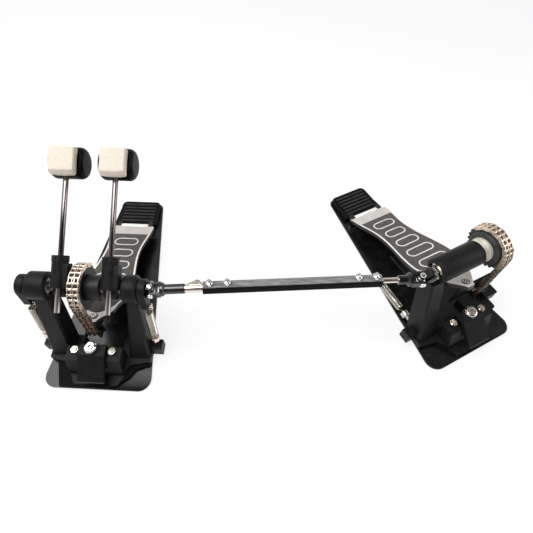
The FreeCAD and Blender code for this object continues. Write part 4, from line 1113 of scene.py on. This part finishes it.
def clamp_knurls():
    # Ring of fine upright teeth round the head of each clamp bolt.
    for side, place in SIDES:
        centre = place @ CLAMP_BOLT
        points = []
        for height in CLAMP_BOLT_SPAN:
            for step, turn in enumerate(turns(2 * KNURL_TEETH)):
                reach = KNURL_RADII[step % 2]
                points.append(centre + Vector((reach * math.cos(turn), reach * math.sin(turn), height)))
        faces = tube_faces(2, 2 * KNURL_TEETH)
        knurl = mesh_piece(side + "_clamp_knurl", points, faces, CHROME, KNURL_CREASE)
        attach(knurl, CLAMP_BODIES[side])


def collar_step():
    # Wider step of the second pedal's collar, next to the sprocket.
    place = SECOND @ Vector((COLLAR_STEP_X, 0, AXLE.z))
    turned("second_collar_step", place, SECOND_AXIS, COLLAR_STEP, CREAM_ZINC, "second_drive", sides=56)


def plate_straps():
    # Narrow strap let into each base plate.
    ahead = (STRAP_END - STRAP_START).normalized()
    aside = Vector((-ahead.y, ahead.x)) * STRAP_HALF
    outline = [STRAP_START + aside, STRAP_START - aside, STRAP_END - aside, STRAP_END + aside]
    points, faces = slab_mesh(outline, *STRAP_LEVELS, STRAP_EDGE)
    for side, place in SIDES:
        placed_piece(side + "_plate_strap", points, faces, GREY_SPROCKET, place, side + "_base")


def front_flange():
    # Low front edge of the casting, out to the rim of the plate.
    points, faces = slab_mesh(rounded_outline(FLANGE, FLANGE_ROUND), *FLANGE_LEVELS, FLANGE_EDGE)
    placed_piece("main_front_flange", points, faces, MATTE_CASTING, MAIN, "main_base")


def set_camera():
    camera = bpy.data.cameras.new("camera")
    camera.sensor_width = SENSOR
    camera.lens = FOCAL_PIXELS / IMAGE_PIXELS * SENSOR
    camera.shift_x = -CENTRE_SHIFT[0] / IMAGE_PIXELS
    camera.shift_y = CENTRE_SHIFT[1] / IMAGE_PIXELS
    camera.clip_start = CLIP_START
    holder = bpy.data.objects.new("camera", camera)
    scene.collection.objects.link(holder)
    across = math.cos(CAMERA_DOWN)
    ahead = Vector((math.sin(CAMERA_YAW) * across, math.cos(CAMERA_YAW) * across, -math.sin(CAMERA_DOWN)))
    right = Vector((math.cos(CAMERA_YAW), -math.sin(CAMERA_YAW), 0))
    down = ahead.cross(right)
    rolled_right = around(right, down, CAMERA_ROLL)
    rolled_down = around(down, -right, CAMERA_ROLL)
    turn = Matrix((rolled_right, -rolled_down, -ahead)).transposed()
    holder.matrix_world = Matrix.Translation(CAMERA_PLACE) @ turn.to_4x4()
    scene.camera = holder


# Floor, surroundings and lamps
FLOOR_SIZE = 8
FLOOR_PLACE = (0.3, 0.1, -0.0002)
FLOOR_COLOUR = (0.85, 0.85, 0.85, 1)
FLOOR_ROUGH = 0.9
FLOOR_GLOW = 1.05
FLOOR_GLOW_SHARE = 0.75
DARK_SIDE = (0.40, -0.42, 0.81)
ROOM_SPAN = (0.35, 0.86)
ROOM_PALE = (0.54, 0.54, 0.54)
ROOM_DARK = (0.075, 0.055, 0.052)
# Each lamp's name, place, target, width and power in watts
LAMPS = (
    ("key_lamp", Vector((-0.75, 0.25, 1.6)), Vector((0.1, 0.05, 0.1)), 1.3, 16.0),
    ("top_lamp", Vector((-0.1, -0.1, 1.9)), Vector((0.2, 0.05, 0.1)), 1.0, 20.0),
    ("fill_lamp", Vector((1.9, 0.1, 0.9)), Vector((0.4, 0.1, 0.1)), 0.9, 9.0),
)


def white_to_camera(tree, lit):
    # White for the camera and for reflections, mixed with the lit surface that keeps the shadow.
    path = add(tree, "ShaderNodeLightPath")
    seen = add(tree, "ShaderNodeMath", operation="MAXIMUM")
    either = add(tree, "ShaderNodeMath", operation="MAXIMUM")
    amount = add(tree, "ShaderNodeMath", {1: FLOOR_GLOW_SHARE}, operation="MULTIPLY")
    glow = add(tree, "ShaderNodeEmission", {"Strength": FLOOR_GLOW})
    mix = add(tree, "ShaderNodeMixShader")
    tree.links.new(path.outputs["Is Camera Ray"], seen.inputs[0])
    tree.links.new(path.outputs["Is Glossy Ray"], seen.inputs[1])
    tree.links.new(seen.outputs[0], either.inputs[0])
    tree.links.new(path.outputs["Is Transmission Ray"], either.inputs[1])
    tree.links.new(either.outputs[0], amount.inputs[0])
    tree.links.new(amount.outputs[0], mix.inputs["Fac"])
    tree.links.new(lit, mix.inputs[1])
    tree.links.new(glow.outputs[0], mix.inputs[2])
    return mix.outputs[0]


def set_floor():
    bpy.ops.mesh.primitive_plane_add(size=FLOOR_SIZE, location=FLOOR_PLACE)
    floor = bpy.context.object
    floor.name = "floor"
    material, tree, shader = new_material("pale_floor")
    shader.inputs["Base Color"].default_value = FLOOR_COLOUR
    shader.inputs["Roughness"].default_value = FLOOR_ROUGH
    shader.inputs["Specular IOR Level"].default_value = 0.0
    tree.links.new(white_to_camera(tree, shader.outputs[0]), tree.nodes["Material Output"].inputs["Surface"])
    floor.data.materials.append(material)


def set_light():
    # Pale surroundings that darken to brown above the viewer's right shoulder, and three soft lamps.
    world = bpy.data.worlds.new("studio")
    scene.world = world
    world.use_nodes = True
    tree = world.node_tree
    background = tree.nodes["Background"]
    background.inputs["Strength"].default_value = 1.0
    place = add(tree, "ShaderNodeTexCoord")
    facing = add(tree, "ShaderNodeVectorMath", {1: DARK_SIDE}, operation="DOT_PRODUCT")
    tree.links.new(place.outputs["Generated"], facing.inputs[0])
    room = colour_ramp(tree, facing.outputs["Value"], ROOM_SPAN, ROOM_PALE, ROOM_DARK)
    tree.links.new(room, background.inputs["Color"])
    for name, lamp_place, target, size, power in LAMPS:
        lamp = bpy.data.lights.new(name, "AREA")
        lamp.size = size
        lamp.energy = power
        holder = bpy.data.objects.new(name, lamp)
        scene.collection.objects.link(holder)
        holder.location = lamp_place
        holder.rotation_euler = (target - lamp_place).to_track_quat("-Z", "Y").to_euler()


dress_nodes()
main_springs()
second_spring()
beater_heads()
beater_felts()
beater_hubs()
sprockets_and_chains()
hub_collars()
joint_caps()
link_forks()
link_bar()
key_bolts()
sleeve_fin()
toe_rings()
clamp_knurls()
collar_step()
plate_straps()
front_flange()
spring_stirrups()
dress_boards()
set_camera()
set_floor()
set_light()
scene.view_settings.view_transform = "Standard"
